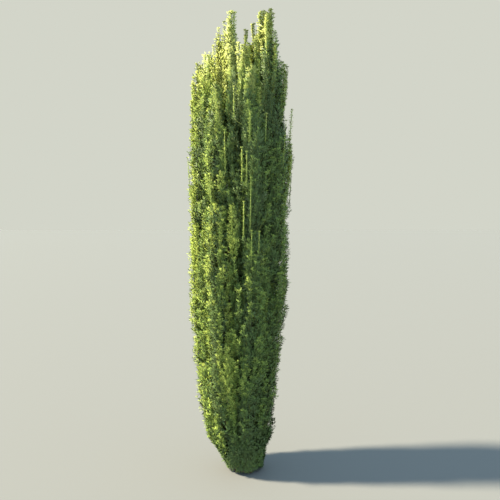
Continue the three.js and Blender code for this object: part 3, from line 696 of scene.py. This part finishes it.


# Candles: upright shoots with short side shoots all the way up and a rosette on top. The placed ones, by
# their tip's place, length and side shoots' length, make the outline, and those with side shoots under thin
# are pale, partly as young shoots and partly as painted light where the crown's left group shades them. Every
# spire carries a few more.
candles = dict(
    placed=dict(
        crownLeft=[
            (-0.067, -0.03, 2.472, 0.3, 0.02), (-0.076, -0.035, 2.464, 0.2, 0.018),
            (-0.054, -0.03, 2.466, 0.2, 0.017), (-0.105, -0.02, 2.42, 0.26, 0.013),
            (-0.137, 0.02, 2.4, 0.24, 0.013), (-0.045, -0.03, 2.35, 0.22, 0.016),
            (-0.085, -0.045, 2.385, 0.26, 0.014), (-0.15, 0.03, 2.345, 0.22, 0.016),
            (-0.115, -0.03, 2.345, 0.24, 0.016), (-0.03, -0.03, 2.31, 0.2, 0.015),
            (-0.165, -0.01, 2.3, 0.2, 0.015)],
        crownGap=[
            (0.004, -0.06, 2.366, 0.17, 0.003), (0.013, -0.06, 2.363, 0.05, 0.003),
            (0.051, 0.03, 2.424, 0.2, 0.004), (0.042, 0.03, 2.421, 0.05, 0.003),
            (0.03, 0.06, 2.31, 0.2, 0.016)],
        crownRight=[
            (0.092, -0.02, 2.472, 0.32, 0.016), (0.105, -0.02, 2.474, 0.3, 0.018),
            (0.081, -0.035, 2.46, 0.2, 0.018), (0.099, -0.04, 2.458, 0.2, 0.02),
            (0.117, -0.035, 2.455, 0.2, 0.02), (0.082, -0.04, 2.44, 0.28, 0.014),
            (0.11, -0.05, 2.435, 0.28, 0.016), (0.125, -0.07, 2.44, 0.3, 0.015),
            (0.136, -0.08, 2.466, 0.34, 0.013), (0.13, -0.09, 2.38, 0.26, 0.017),
            (0.06, -0.05, 2.33, 0.22, 0.016)],
        crownBack=[
            (-0.076, 0.095, 2.385, 0.26, 0.018), (-0.1, 0.08, 2.35, 0.22, 0.018),
            (-0.05, 0.1, 2.3, 0.22, 0.018)],
        rightFront=[(0.158, -0.12, 2.252, 0.22, 0.014), (0.076, -0.16, 2.186, 0.22, 0.008)],
        leftShoulder=[
            (-0.208, -0.02, 2.246, 0.16, 0.014), (-0.19, -0.05, 2.238, 0.16, 0.014),
            (-0.251, -0.01, 2.203, 0.16, 0.014), (-0.268, -0.02, 2.13, 0.2, 0.016),
            (-0.274, 0.0, 2.1, 0.2, 0.016), (-0.27, -0.04, 2.09, 0.2, 0.016)],
        flanks=[
            (-0.272, -0.03, 1.8, 0.2, 0.016), (-0.276, 0.0, 1.77, 0.2, 0.016),
            (0.24, -0.04, 1.8, 0.2, 0.014), (0.248, -0.01, 1.78, 0.2, 0.014),
            (0.247, -0.05, 1.74, 0.2, 0.014), (0.25, 0.02, 1.72, 0.2, 0.014),
            (0.243, -0.02, 1.66, 0.2, 0.014), (-0.281, -0.02, 2.004, 0.16, 0.014)],
        rightShoulder=[
            (0.212, -0.02, 2.196, 0.16, 0.016), (0.226, -0.045, 2.182, 0.2, 0.016),
            (0.196, -0.05, 2.204, 0.16, 0.016), (0.18, 0.0, 2.21, 0.16, 0.016),
            (0.207, -0.035, 2.172, 0.2, 0.018), (0.216, -0.065, 2.15, 0.2, 0.018)],
        saddle=[
            (-0.012, -0.07, 2.285, 0.2, 0.016), (-0.034, -0.065, 2.3, 0.2, 0.016),
            (0.022, -0.08, 2.29, 0.2, 0.016)],
        leftWaist=[
            (-0.284, -0.02, 1.275, 0.16, 0.015), (-0.272, -0.06, 1.3, 0.18, 0.015),
            (-0.283, 0.0, 1.25, 0.14, 0.015), (-0.262, -0.04, 1.235, 0.14, 0.016),
            (-0.275, -0.03, 1.315, 0.2, 0.02), (-0.262, 0.01, 1.29, 0.2, 0.02),
            (-0.25, -0.08, 1.3, 0.2, 0.02), (-0.265, -0.01, 1.35, 0.2, 0.021),
            (-0.25, -0.05, 1.355, 0.2, 0.021), (-0.258, -0.075, 1.34, 0.2, 0.021),
            (-0.268, 0.015, 1.34, 0.2, 0.021)],
        rightWaist=[
            (0.21, -0.11, 1.1, 0.2, 0.02), (0.195, -0.13, 1.13, 0.2, 0.02), (0.22, -0.09, 1.08, 0.2, 0.02),
            (0.185, -0.15, 1.1, 0.2, 0.02), (0.224, -0.06, 1.12, 0.2, 0.02)],
        leftFoot=[
            (-0.205, -0.03, 0.27, 0.12, 0.014), (-0.196, -0.06, 0.235, 0.12, 0.014),
            (-0.2, 0.0, 0.25, 0.12, 0.014)]),
    number=dict(low=4, ring=6, crown=5), drop=dict(low=(0.02, 0.15), ring=(0.02, 0.24), crown=(0.06, 0.36)),
    length=0.2, lengthVaries=(0.8, 1.2), out=(0.2, 0.8), width=(0.012, 0.018), thin=0.005, margin=0.004,
    shoots=28, shootFrom=0.12, shootLength=(1.0, 1.5), shootSpread=30)


def growCandles():
    counts = np.array([candles["number"][s["kind"]] for s in spires])
    drops = np.array([candles["drop"][s["kind"]] for s in spires])
    owner, number = numbered(counts)
    seed = spireSeed[owner] + 900.0
    share = number / counts[owner]
    endZ = spireTip[owner] - mix(drops[owner, 0], drops[owner, 1], share)
    side = turned(awayFromMiddle(stemAt(owner, endZ)), number * goldenTurn)
    out = spireReach[owner] * mix(*candles["out"], share)
    out = drawnIn(owner, endZ, side, out, candles["margin"], least=0.004, shrink=0.85, steps=10)
    placed = np.array(sum(candles["placed"].values(), []))
    tip = np.concatenate([stemAt(owner, endZ) + side * out[:, None], placed[:, :3]])
    length = candles["length"] * pick(candles["lengthVaries"], seed, number + 3)
    length = np.concatenate([length, placed[:, 3]])[:, None]
    width = np.concatenate([pick(candles["width"], seed, number + 5), placed[:, 4]])
    owner = np.concatenate([owner, distances(placed[:, :3] - up * 0.05).argmin(1)])
    seeds = np.concatenate([seed + number * 0.53, 60.0 + np.arange(len(placed))])
    beside = np.linalg.norm(tip[:, :2] - stemAt(owner, tip[:, 2])[:, :2], axis=1)
    start = stemAt(owner, np.maximum(tip[:, 2] - length[:, 0] - 2 * beside, spireFoot[owner]))
    curves = np.stack([start, mix(start, tip - up * length * 0.8, 0.9), tip - up * length * 0.5, tip], 1)
    x, z = tip[:, 0], tip[:, 2]
    tone = 0.72 + 0.16 * swing(seeds, 5) + 0.14 * smooth(z, 2.0, 2.3)
    # Thin ones are paler, partly as young growth and partly as painted light on shoots in the crown's shadow;
    # all are darker towards the bottom.
    tone += 0.5 * (width < candles["thin"]) - 0.24 * fading(z, 0.25, 1.3)
    # Painted shade: darker on the shaded right below 1.7 m and in the front's furrows.
    tone -= 0.26 * smooth(x, 0.08, 0.18) * fading(z, 1.3, 1.7) + paintedFaceShade(tip)
    side, sideOwner, rows, sideSeeds = shootsOn(curves, owner, seeds, candles, width)
    side = withinFoot(side)
    addShoots("candle", withinFoot(curves), owner, seeds, tone, bare=0.15, foot=0.0026, tip=0.0014,
              rosette=26, needle=0.0165, spacing=0.0024, angles=(44, 34), wood="shoots_main")
    sideTone = tone[rows] + 0.1 * swing(sideSeeds, 3) - 0.36 * rightShade(side[:, 0])
    addShoots("candleSide", side, sideOwner, sideSeeds, sideTone, rosette=4, needle=0.0145)


# Leaders: long pale shoots that stand straight up on the face of the column, with short needles close to
# the stem and a rosette at the tip. The front ones, by the tip's x and z, length and side shoots' length,
# stand where they show most, and the seeded ones only behind frontY.
leaders = dict(
    front=[(-0.01, 1.738, 0.17, 0), (0.014, 1.718, 0.155, 0), (0.21, 1.812, 0.15, 0),
           (-0.001, 1.473, 0.18, 0), (-0.062, 1.453, 0.26, 0.042), (0.039, 1.329, 0.155, 0),
           (0.077, 1.324, 0.1, 0), (0.218, 1.521, 0.19, 0.014), (0.035, 1.591, 0.25, 0),
           (-0.096, 1.826, 0.2, 0), (-0.172, 1.613, 0.165, 0), (-0.14, 2.028, 0.27, 0.024),
           (0.031, 1.918, 0.15, 0.006), (0.113, 1.913, 0.143, 0), (0.253, 1.964, 0.17, 0.009),
           (-0.089, 0.729, 0.26, 0.04), (-0.05, 2.038, 0.145, 0)],
    perSpire=2, aboveFoot=0.35, belowTip=0.05, length=(0.12, 0.22), sweep=150, margin=0.004, frontY=-0.1,
    face=0.073, plumeInset=0.6, lean=0.07, twigDrop=0.06,
    shoots=40, shootFrom=0.02, shootLength=(1.3, 0.6), shootSpread=42, beyond=0.05, crossing=0.05)


def growLeaders():
    owner, number = numbered(np.full(len(spires), leaders["perSpire"]))
    seed = spireSeed[owner] + 700.0
    share = (number + vary(seed, number)) / leaders["perSpire"]
    endZ = mix(spireFoot[owner] + leaders["aboveFoot"], spireTip[owner] - leaders["belowTip"], share)
    length = pick(leaders["length"], seed, number + 3)
    turn = np.radians(swing(seed, number + 5) * leaders["sweep"])
    side = turned(awayFromMiddle(stemAt(owner, endZ)), turn)
    room = drawnIn(owner, endZ, side, reachAt(owner, endZ), leaders["margin"])
    tip = stemAt(owner, endZ) + side * room[:, None]
    elsewhere = tip[:, 1] > leaders["frontY"]
    x, z, frontLength, frontWidth = np.array(leaders["front"]).T
    face = ringRadius(z) + leaders["face"] - frontWidth * leaders["plumeInset"]
    front = np.stack([x, -np.sqrt(np.maximum(face ** 2 - (x - middleX(z)) ** 2, 0.0004)), z], -1)
    tip = np.concatenate([tip[elsewhere], front])
    length = np.concatenate([length[elsewhere], frontLength])[:, None]
    width = np.concatenate([np.zeros(elsewhere.sum()), frontWidth])
    owner = np.concatenate([owner[elsewhere], distances(front).argmin(1)])
    seeds = np.concatenate([(seed + number * 0.61)[elsewhere], 50.0 + np.arange(len(front))])
    foot = tip - up * length - awayFromMiddle(tip) * length * leaders["lean"]
    start = stemAt(owner, foot[:, 2] - leaders["twigDrop"])
    curves = np.stack([foot, mix(foot, tip, 1 / 3), mix(foot, tip, 2 / 3), tip], 1)
    twigs = np.stack([start, mix(start, foot, 0.5), mix(foot, tip, -0.2), foot], 1)
    addShoots("leaderTwig", twigs, owner, seeds, np.full(len(tip), 0.3), bare=0.7, foot=0.0026, tip=0.002,
              wood="shoots_main")
    addShoots("leader", curves, owner, seeds, 0.6 + 0.16 * vary(seeds, 8), bare=0, foot=0.0015, tip=0.0009,
              needle=0.0105, spacing=0.0034, angles=(26, 22), rosette=16, lighter=0.2, wood="leader_stems")
    plumed = np.flatnonzero(width)
    plumes = (values[plumed] for values in (curves, owner, seeds))
    side, sideOwner, _, sideSeeds = shootsOn(*plumes, leaders, width[plumed])
    addShoots("leaderSide", side, sideOwner, sideSeeds, 0.66 + 0.2 * vary(sideSeeds, 3), needle=0.014)


# Skirt: short sprays, dark as painted shade under the column, that hang outwards round the foot, turn up at
# their tips and hide the trunk. curve has its points as shares of the length outwards and of the drop down.
skirt = dict(number=24, sweep=190, rootZ=(0.05, 0.17), drop=(0.3, 0.9), lowestTip=0.03, length=(0.05, 0.092),
             curve=[(0, 0), (0.35, 0.2), (0.62, 1.05), (0.75, 1)],
             shoots=6, shootFrom=0.25, shootLength=(0.04, 0.026), shootSpread=38)


def growSkirt():
    lowOnes = np.flatnonzero([s["kind"] == "low" for s in spires])
    owner = np.repeat(lowOnes, skirt["number"])
    number = np.tile(np.arange(skirt["number"]), len(lowOnes))
    seed = spireSeed[owner] + 1200.0
    rootZ = pick(skirt["rootZ"], seed, number)
    root = stemAt(owner, rootZ)
    side = turned(awayFromMiddle(root), np.radians((number * goldenShare % 1 - 0.5) * skirt["sweep"]))
    size = pick(skirt["length"], seed, number + 3)[:, None]
    down = pick(skirt["drop"], seed, number + 5) * size[:, 0]
    down = np.minimum(down, rootZ - skirt["lowestTip"])[:, None]
    curves = np.stack([root + side * size * out - up * down * fall for out, fall in skirt["curve"]], 1)
    seeds = seed + number * 0.47
    # Painted shade: dark tones for the shade under the column.
    tone = 0.08 + 0.2 * vary(seeds, 5)
    look = dict(bare=0.15, foot=0.0016, tip=0.0008, rosette=5)
    addSprays("skirt", withinFoot(curves), owner, seeds, tone, skirt, look, {}, atFoot=True)


# Short dark twigs that stand on the trunk itself, most of them near the ground, and close the gaps between
# the low spires.
trunkTwigs = dict(number=240, z=(0.02, 0.2), crowded=1.6, rootRadius=0.043, length=(0.06, 0.1),
                  rise=(-14, 45), shoots=5, shootFrom=0.3, shootLength=(0.045, 0.03), shootSpread=40)


def growTrunkTwigs():
    number = np.arange(trunkTwigs["number"])
    seeds = 3000.0 + number * 0.73
    z = mix(*trunkTwigs["z"], ((number * goldenShare) % 1) ** trunkTwigs["crowded"])
    out = levelAt(number * goldenTurn)
    root = out * trunkTwigs["rootRadius"] + up * z[:, None]
    rise = np.radians(pick(trunkTwigs["rise"], seeds, 2))[:, None]
    length = pick(trunkTwigs["length"], seeds, 3)[:, None]
    tip = root + (out * np.cos(rise) + up * np.sin(rise)) * length
    curves = withinFoot(np.stack([root, root + out * length * 0.35, tip - up * length * 0.2, tip], 1))
    sideLook = dict(spacing=0.0042, needle=0.026, **innerLook)
    look = dict(bare=0.2, foot=0.0018, tip=0.0008, **sideLook)
    addSprays("trunkTwig", curves, distances(tip).argmin(1), seeds, 0.05 + 0.2 * vary(seeds, 5), trunkTwigs,
              look, sideLook, atFoot=True)


growOuter()
growInner()
growHeart()
growBetween()
growCandles()
growLeaders()
growSkirt()
growTrunkTwigs()
report("shoots: " + ", ".join(f"{s['kind']} {len(s['curves'])}" for s in shootSets))


# Needles: flat kites with a pointed tip, in a spiral round each shoot

# Sizes are shares of the shoot's own needle length, and a needle starts at sunk of the shoot's radius.
needleShape = dict(bend=0.1, lowest=0.004, sizes=(0.78, 1.15), endSize=0.78, youngest=0.78, rosetteSize=0.85,
                   rosetteAngles=(34, 78), angleVaries=16, twist=2.4, rosetteLighter=0.1, sunk=0.7)

# How far a needle's upper face is turned outwards, and how far its normal is softened towards the tuft's,
# each by where it grows; upwards is how much up the tuft's normal has, low down and on top.
needleFacing = dict(turned=0.12, turnedInShade=0.34, turnedOnTop=0.5,
                    softened=0.85, softenedInSun=0.66, softenedOnTop=0.95, upwards=(0.35, 1.0))


def facingOf(root, direction, upper, radial, owner):  # the upper face's direction, and its softened normal
    onTop = smooth(root[:, 2], 2.05, 2.25)[:, None]
    outwards = unit(fromStem(owner, root) + awayFromMiddle(root) + radial * 0.8
                    + up * mix(*needleFacing["upwards"], onTop))
    upper = np.where((upper * outwards).sum(1, keepdims=True) < 0, -upper, upper)
    facing = unit(outwards - direction * (outwards * direction).sum(1, keepdims=True))
    inShade = smooth(root[:, 0], -0.08, 0.0)[:, None]
    turnedBy = mix(needleFacing["turned"], needleFacing["turnedInShade"], inShade)
    upper = unit(mix(upper, facing, mix(turnedBy, needleFacing["turnedOnTop"], onTop)))
    inSun = (smooth(-root[:, 0], 0.02, 0.14) * fading(root[:, 2], 1.9, 2.2))[:, None]
    softened = mix(needleFacing["softened"], needleFacing["softenedInSun"], inSun)
    return upper, unit(mix(upper, outwards, mix(softened, needleFacing["softenedOnTop"], onTop)))


def needlesOf(shoots):
    # One needle per spacing along each shoot, by the golden turn; its angle to the shoot narrows from foot
    # to tip, and the rosette's needles stand wide round the tip.
    lengths = curveLengths(shoots["curves"])
    along = np.maximum(2, np.round(lengths * (1 - shoots["bare"]) / shoots["spacing"])).astype(int)
    row, number = numbered(along + shoots["rosette"])
    curves, seeds, owner = shoots["curves"][row], shoots["seeds"][row], shoots["owner"][row]
    inRosette = number >= along[row]
    share = np.where(inRosette, 1.0, (number + 0.5) / along[row])
    u = mix(shoots["bare"], 1, share)[:, None]
    root = curvePoints(curves, u)[:, 0]
    heading = curveTangents(curves, np.minimum(u, 0.98))[:, 0]
    radial = radialAt(heading, number * goldenTurn + seeds * 5.0)
    wobble = vary(seeds, number + 0.5)
    angle = mix(*shoots["angles"], share) + needleShape["angleVaries"] * (wobble - 0.5)
    angle = np.radians(np.where(inRosette, mix(*needleShape["rosetteAngles"], wobble), angle))[:, None]
    direction = heading * np.cos(angle) + radial * np.sin(angle)
    upper = unit(heading * np.sin(angle) - radial * np.cos(angle))
    twist = (swing(seeds, number + 0.8) * needleShape["twist"])[:, None]
    upper = upper * np.cos(twist) + np.cross(direction, upper) * np.sin(twist)
    young = mix(1, needleShape["youngest"], smooth(root[:, 2], 1.9, 2.3))
    size = shoots["needle"] * young * pick(needleShape["sizes"], seeds, number + 0.2)
    size = size * np.where(inRosette, needleShape["rosetteSize"], mix(1, needleShape["endSize"], share ** 3))
    tone = shoots["tone"][row] + shoots["lighter"] * (share - 0.5)
    tone = tone + np.where(inRosette, needleShape["rosetteLighter"], 0)
    tone = np.minimum(tone, mix(0.85, 2, smooth(root[:, 2], 1.85, 2.05)))
    root = root + radial * mix(shoots["foot"], shoots["tip"], u) * needleShape["sunk"]
    upper, normal = facingOf(root, direction, upper, radial, owner)
    return dict(root=root, direction=direction, upper=upper, normal=normal, size=size, tone=tone, owner=owner,
                width=np.full(len(row), shoots["width"]))


def needleMesh(needles):
    # A kite of four points: its foot, two where it is widest, and its tip. It bends down by bend times the
    # square of the share of its length.
    root, direction, upper = (needles[k] for k in ("root", "direction", "upper"))
    across = np.cross(direction, upper) * (needles["width"] / 2)[:, None]
    length = needles["size"][:, None]

    def at(share):
        return root + direction * length * share - upper * length * needleShape["bend"] * share * share

    points = np.stack([at(0), at(0.5) - across, at(0.5) + across, at(1)], 1)
    faces = (np.arange(len(root)) * 4)[:, None, None] + np.array([[0, 2, 1], [1, 2, 3]])
    return points.reshape(-1, 3), [faces.reshape(-1, 3)], np.repeat(needles["normal"], 4, 0)


# The greens, from the oldest needles deep inside to this year's at the tips, each for the tones below its
# number. They are dealt out by spray, and by place where the tones carry painted light and shade.
needleTones = [
    ("needles_deep", 0.2, (0.094, 0.134, 0.048)),
    ("needles_dark", 0.36, (0.104, 0.156, 0.047)),
    ("needles_mid", 0.48, (0.124, 0.184, 0.046)),
    ("needles_leaf", 0.6, (0.178, 0.250, 0.052)),
    ("needles_fresh", 0.72, (0.262, 0.335, 0.064)),
    ("needles_gold", 0.86, (0.370, 0.430, 0.088)),
    ("needles_pale", np.inf, (0.415, 0.440, 0.120)),
]
mostTriangles = 190000


def dressNeedles():
    parts = [needlesOf(s) for s in shootSets]
    needles = {k: np.concatenate([p[k] for p in parts]) for k in parts[0]}
    lowest = np.minimum(needles["root"], needles["root"] + needles["direction"] * needles["size"][:, None])
    kept = lowest[:, 2] > needleShape["lowest"]
    needles = {k: v[kept] for k, v in needles.items()}
    print(f"  {len(kept)} needles, {int(kept.sum())} kept above the ground")
    above = -np.inf
    for name, below, colour in needleTones:
        material = principled(name, colour, 0.5, 0.22)
        chosen = np.flatnonzero((needles["tone"] >= above) & (needles["tone"] < below))
        chosen = chosen[np.argsort(needles["root"][chosen, 2], kind="stable")]
        above = below
        for i, part in enumerate(np.array_split(chosen, math.ceil(len(chosen) * 2 / mostTriangles))):
            some = {k: v[part] for k, v in needles.items()}
            stands = [spireNames[j] for j in np.unique(some["owner"])]
            vertices, faces, normals = needleMesh(some)
            makePiece(f"{name}_kites_{i + 1}", vertices, faces, material, stands, "needles", normals)


dressNeedles()
report("needles")


# Shoots and twigs under the needles: the name of each kind, its stations and sides, and its colour. The ones
# without stations are straight cones.
woodKinds = dict(
    shoots_main=(4, 3, (0.24, 0.27, 0.07)),
    shoots_side=(0, 3, (0.26, 0.31, 0.06)),
    leader_stems=(4, 6, (0.30, 0.33, 0.09)),
    twigs_inner=(0, 3, (0.07, 0.055, 0.03)),
)


def dressWood():
    for name, (stations, sides, colour) in woodKinds.items():
        made = []
        for s in (s for s in shootSets if s["wood"] == name):
            if stations:
                radii = tapered(s["foot"], s["tip"], len(s["curves"]), stations)
                radii[:, -1] *= 0.4
                made.append(tubes(evenPoints(s["curves"], stations), radii, sides))
            else:
                made.append(cones(s["curves"][:, 0], s["curves"][:, 3], s["foot"], sides))
        makePiece(name, *joined(made), principled(name, colour, 0.6, 0.35), spireNames, "needles")


dressWood()
report("shoots and twigs")


# Bark: the trunk, the boughs and the woody stems that run up inside the spires

trunkSizes = dict(foot=0.066, waist=0.041, fork=0.047, flareHeight=0.034, lobes=5, lobeDepth=0.13,
                  lobeTurn=0.6, topShare=0.45, forkZ=0.118, topZ=0.156, relief=1.4, sunk=0.0016)
barkRelief = dict(ridges=7, ridgeDepth=0.0016, ridgeRound=0.7, flake=0.0011, flakeAround=11, flakeUp=34,
                  flakeEdge=(0.44, 0.56), wander=9.0)

# The boughs' curves, the radii of their feet and tips, and their stations. They are sunk, so that the relief
# stands out to about the solids' size.
boughKinds = [(mainCurves, 0.013, 0.007, 96), (ringCurves, 0.01, 0.0075, 56), (lowCurves, 0.009, 0.007, 10)]
boughSunk = 0.0012


def patchNoise(u, v, seed, around):  # smooth value noise; u comes round again after a whole number of cells
    cellU, cellV = np.floor(u), np.floor(v)
    shareU, shareV = smooth(u - cellU, 0, 1), smooth(v - cellV, 0, 1)

    def corner(a, b):
        return vary(seed + ((cellU + a) % around) * 1.73, (cellV + b) * 2.31)

    return mix(mix(corner(0, 0), corner(1, 0), shareU), mix(corner(0, 1), corner(1, 1), shareU), shareV)


def flakes(angle, along, seed):
    # Long ridges that wander round the limb, and thin flakes that stand off in patches.
    wander = np.sin(along * barkRelief["wander"] + seed * 2.1)
    ridge = 1 - np.abs(np.sin(barkRelief["ridges"] / 2 * angle + wander)) ** barkRelief["ridgeRound"]
    patch = patchNoise(angle / (2 * math.pi) * barkRelief["flakeAround"], along * barkRelief["flakeUp"],
                       seed + 3.0, barkRelief["flakeAround"])
    return ridge * barkRelief["ridgeDepth"] + smooth(patch, *barkRelief["flakeEdge"]) * barkRelief["flake"]


def trunkRadius(z, angle):
    flare = np.exp(-z / trunkSizes["flareHeight"])
    lobe = 1 + trunkSizes["lobeDepth"] * flare * np.cos(trunkSizes["lobes"] * angle + trunkSizes["lobeTurn"])
    toFork = smooth(z, trunkSizes["flareHeight"], trunkSizes["forkZ"])
    shaft = mix(trunkSizes["waist"], trunkSizes["fork"], toFork)
    above = np.clip((z - trunkSizes["forkZ"]) / (trunkSizes["topZ"] - trunkSizes["forkZ"]), 0, 1)
    rounding = mix(trunkSizes["topShare"], 1, np.sqrt(1 - above ** 2))
    return (shaft + (trunkSizes["foot"] - trunkSizes["waist"]) * flare) * lobe * rounding


def trunkMesh(sides=104, stations=60):
    z = np.linspace(0, trunkSizes["topZ"], stations)

    def relief(angle, along, seed):
        level = np.broadcast_to(along, angle.shape)
        bark = trunkSizes["relief"] * flakes(angle, level, seed + 40.0)
        return trunkRadius(level, -angle) + bark - trunkSizes["sunk"]

    return tubes(np.stack([z * 0, z * 0, z], -1)[None], np.zeros((1, stations)), sides, relief)


def boughMesh(curves, foot, tip, stations, sides=14):
    radii = tapered(foot, tip, len(curves), stations) - boughSunk
    return tubes(evenPoints(curves, stations), radii, sides, flakes)


def stemMesh(tip=0.0016, sides=8):
    # They stop below the spires' tips, where the shoots are still green.
    last = len(rising) - 3
    radii = np.stack([mix(s["stem"], tip, np.linspace(0, 1, last) ** 0.8) for s in spires])
    return tubes(spireLines[:, :last], radii, sides)


def barkGroup():
    # Colour masks and a height for flaking bark: long streaks up the limb and flakes with raised edges.
    group = bpy.data.node_groups.new("flakingBark", "ShaderNodeTree")
    group.interface.new_socket("Size", in_out="INPUT", socket_type="NodeSocketFloat")
    for name in ("Streaks", "Flakes", "Height"):
        group.interface.new_socket(name, in_out="OUTPUT", socket_type="NodeSocketFloat")
    start, end = group.nodes.new("NodeGroupInput"), group.nodes.new("NodeGroupOutput")
    place = addNode(group, "TexCoord")
    stretch = addNode(group, "Mapping", {"Scale": (1, 1, 0.22)})
    streaks = addNode(group, "TexNoise", {"Detail": 6})
    flake = addNode(group, "TexVoronoi", feature="DISTANCE_TO_EDGE")
    edges = addNode(group, "MapRange", {"From Max": 0.18})
    height = addNode(group, "Math", {1: 0.6}, operation="MULTIPLY_ADD")
    linkUp(group, (place, "Object", stretch, "Vector"))
    for texture in (streaks, flake):
        linkUp(group, (stretch, "Vector", texture, "Vector"), (start, "Size", texture, "Scale"))
    linkUp(group, (flake, "Distance", edges, "Value"),
           (streaks, "Fac", height, 0), (edges, "Result", height, 2), (height, "Value", end, "Height"),
           (streaks, "Fac", end, "Streaks"), (edges, "Result", end, "Flakes"))
    return group


barkColours = dict(furrow=(0.045, 0.023, 0.015), flake=(0.16, 0.085, 0.052), weathered=(0.27, 0.21, 0.165))


def barkMaterial():
    material = principled("yew_bark", barkColours["flake"], 0.85, 0.25)
    tree = material.node_tree
    furrow, flake, weathered = ((*barkColours[name], 1) for name in ("furrow", "flake", "weathered"))
    bark = tree.nodes.new("ShaderNodeGroup")
    bark.node_tree = barkGroup()
    bark.inputs["Size"].default_value = 90
    weather = addNode(tree, "MapRange", {"From Min": 0.5, "From Max": 0.68})
    flakeMix = addNode(tree, "Mix", {"A": flake, "B": weathered}, data_type="RGBA")
    edgeMix = addNode(tree, "Mix", {"A": furrow}, data_type="RGBA")
    bump = addNode(tree, "Bump", {"Distance": 0.001, "Strength": 0.7})
    shader = tree.nodes["Principled BSDF"]
    linkUp(tree, (bark, "Streaks", weather, "Value"), (weather, "Result", flakeMix, "Factor"),
           (bark, "Flakes", edgeMix, "Factor"), (flakeMix, "Result", edgeMix, "B"),
           (edgeMix, "Result", shader, "Base Color"), (bark, "Height", bump, "Height"),
           (bump, "Normal", shader, "Normal"))
    return material


def dressBark():
    material = barkMaterial()
    makePiece("trunk_bark", *trunkMesh(), material, ["trunk"], "bark")
    names = [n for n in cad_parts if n.startswith("bough_")]
    makePiece("boughs_bark", *joined([boughMesh(*kind) for kind in boughKinds]), material, names, "bark")
    makePiece("stems_bark", *stemMesh(), material, (), "bark")


dressBark()
report("bark")


# Floor, light and camera

studio = dict(floor=(0.144, 0.14, 0.151), floorHalf=40, sky=(0.6, 0.86, 0.96), skyStrength=1.36,
              backdrop=(0.65, 0.665, 0.585), keyStrength=13.6, keySoftness=5, keyPlace=(-4.3, -0.2, 5.1),
              keyColour=(1.0, 0.93, 0.64), aim=(0, 0, 0))
view = dict(lens=43.2, sensor=36, place=(0.03, -3.253, 1.433), tiltDown=3.81, clipEnd=200)


def setStage():
    half = studio["floorHalf"]
    corners = [(-half, -half, 0), (half, -half, 0), (half, half, 0), (-half, half, 0)]
    mesh = bpy.data.meshes.new("floor")
    mesh.from_pydata(corners, [], [(0, 1, 2, 3)])
    floor = bpy.data.objects.new("floor", mesh)
    bpy.context.scene.collection.objects.link(floor)
    mesh.materials.append(principled("floor_pale", studio["floor"], 0.9, 0.2))
    bpy.context.scene.view_settings.view_transform = "Standard"


def setWorld():
    # The camera sees a plain pale backdrop, and the tree gets a soft cool light from all round.
    world = bpy.data.worlds.new("studio")
    world.use_nodes = True
    tree = world.node_tree
    light = tree.nodes["Background"]
    light.inputs["Color"].default_value = (*studio["sky"], 1)
    light.inputs["Strength"].default_value = studio["skyStrength"]
    seen = addNode(tree, "Background", {"Color": (*studio["backdrop"], 1)})
    path = addNode(tree, "LightPath")
    choice = addNode(tree, "MixShader")
    linkUp(tree, (path, "Is Camera Ray", choice, 0), (light, "Background", choice, 1),
           (seen, "Background", choice, 2), (choice, "Shader", tree.nodes["World Output"], "Surface"))
    bpy.context.scene.world = world


def setKey():
    key = bpy.data.lights.new("key", "SUN")
    key.energy, key.color = studio["keyStrength"], studio["keyColour"]
    key.angle = math.radians(studio["keySoftness"])
    lamp = bpy.data.objects.new("key", key)
    lamp.location = studio["keyPlace"]
    lamp.rotation_euler = (Vector(studio["aim"]) - lamp.location).to_track_quat("-Z", "Y").to_euler()
    bpy.context.scene.collection.objects.link(lamp)


def setCamera():
    lens = bpy.data.cameras.new("camera")
    lens.lens, lens.sensor_width, lens.clip_end = view["lens"], view["sensor"], view["clipEnd"]
    camera = bpy.data.objects.new("camera", lens)
    camera.location = view["place"]
    camera.rotation_euler = (math.radians(90 - view["tiltDown"]), 0, 0)
    bpy.context.scene.collection.objects.link(camera)
    bpy.context.scene.camera = camera


setStage()
setWorld()
setKey()
setCamera()
report("stage")
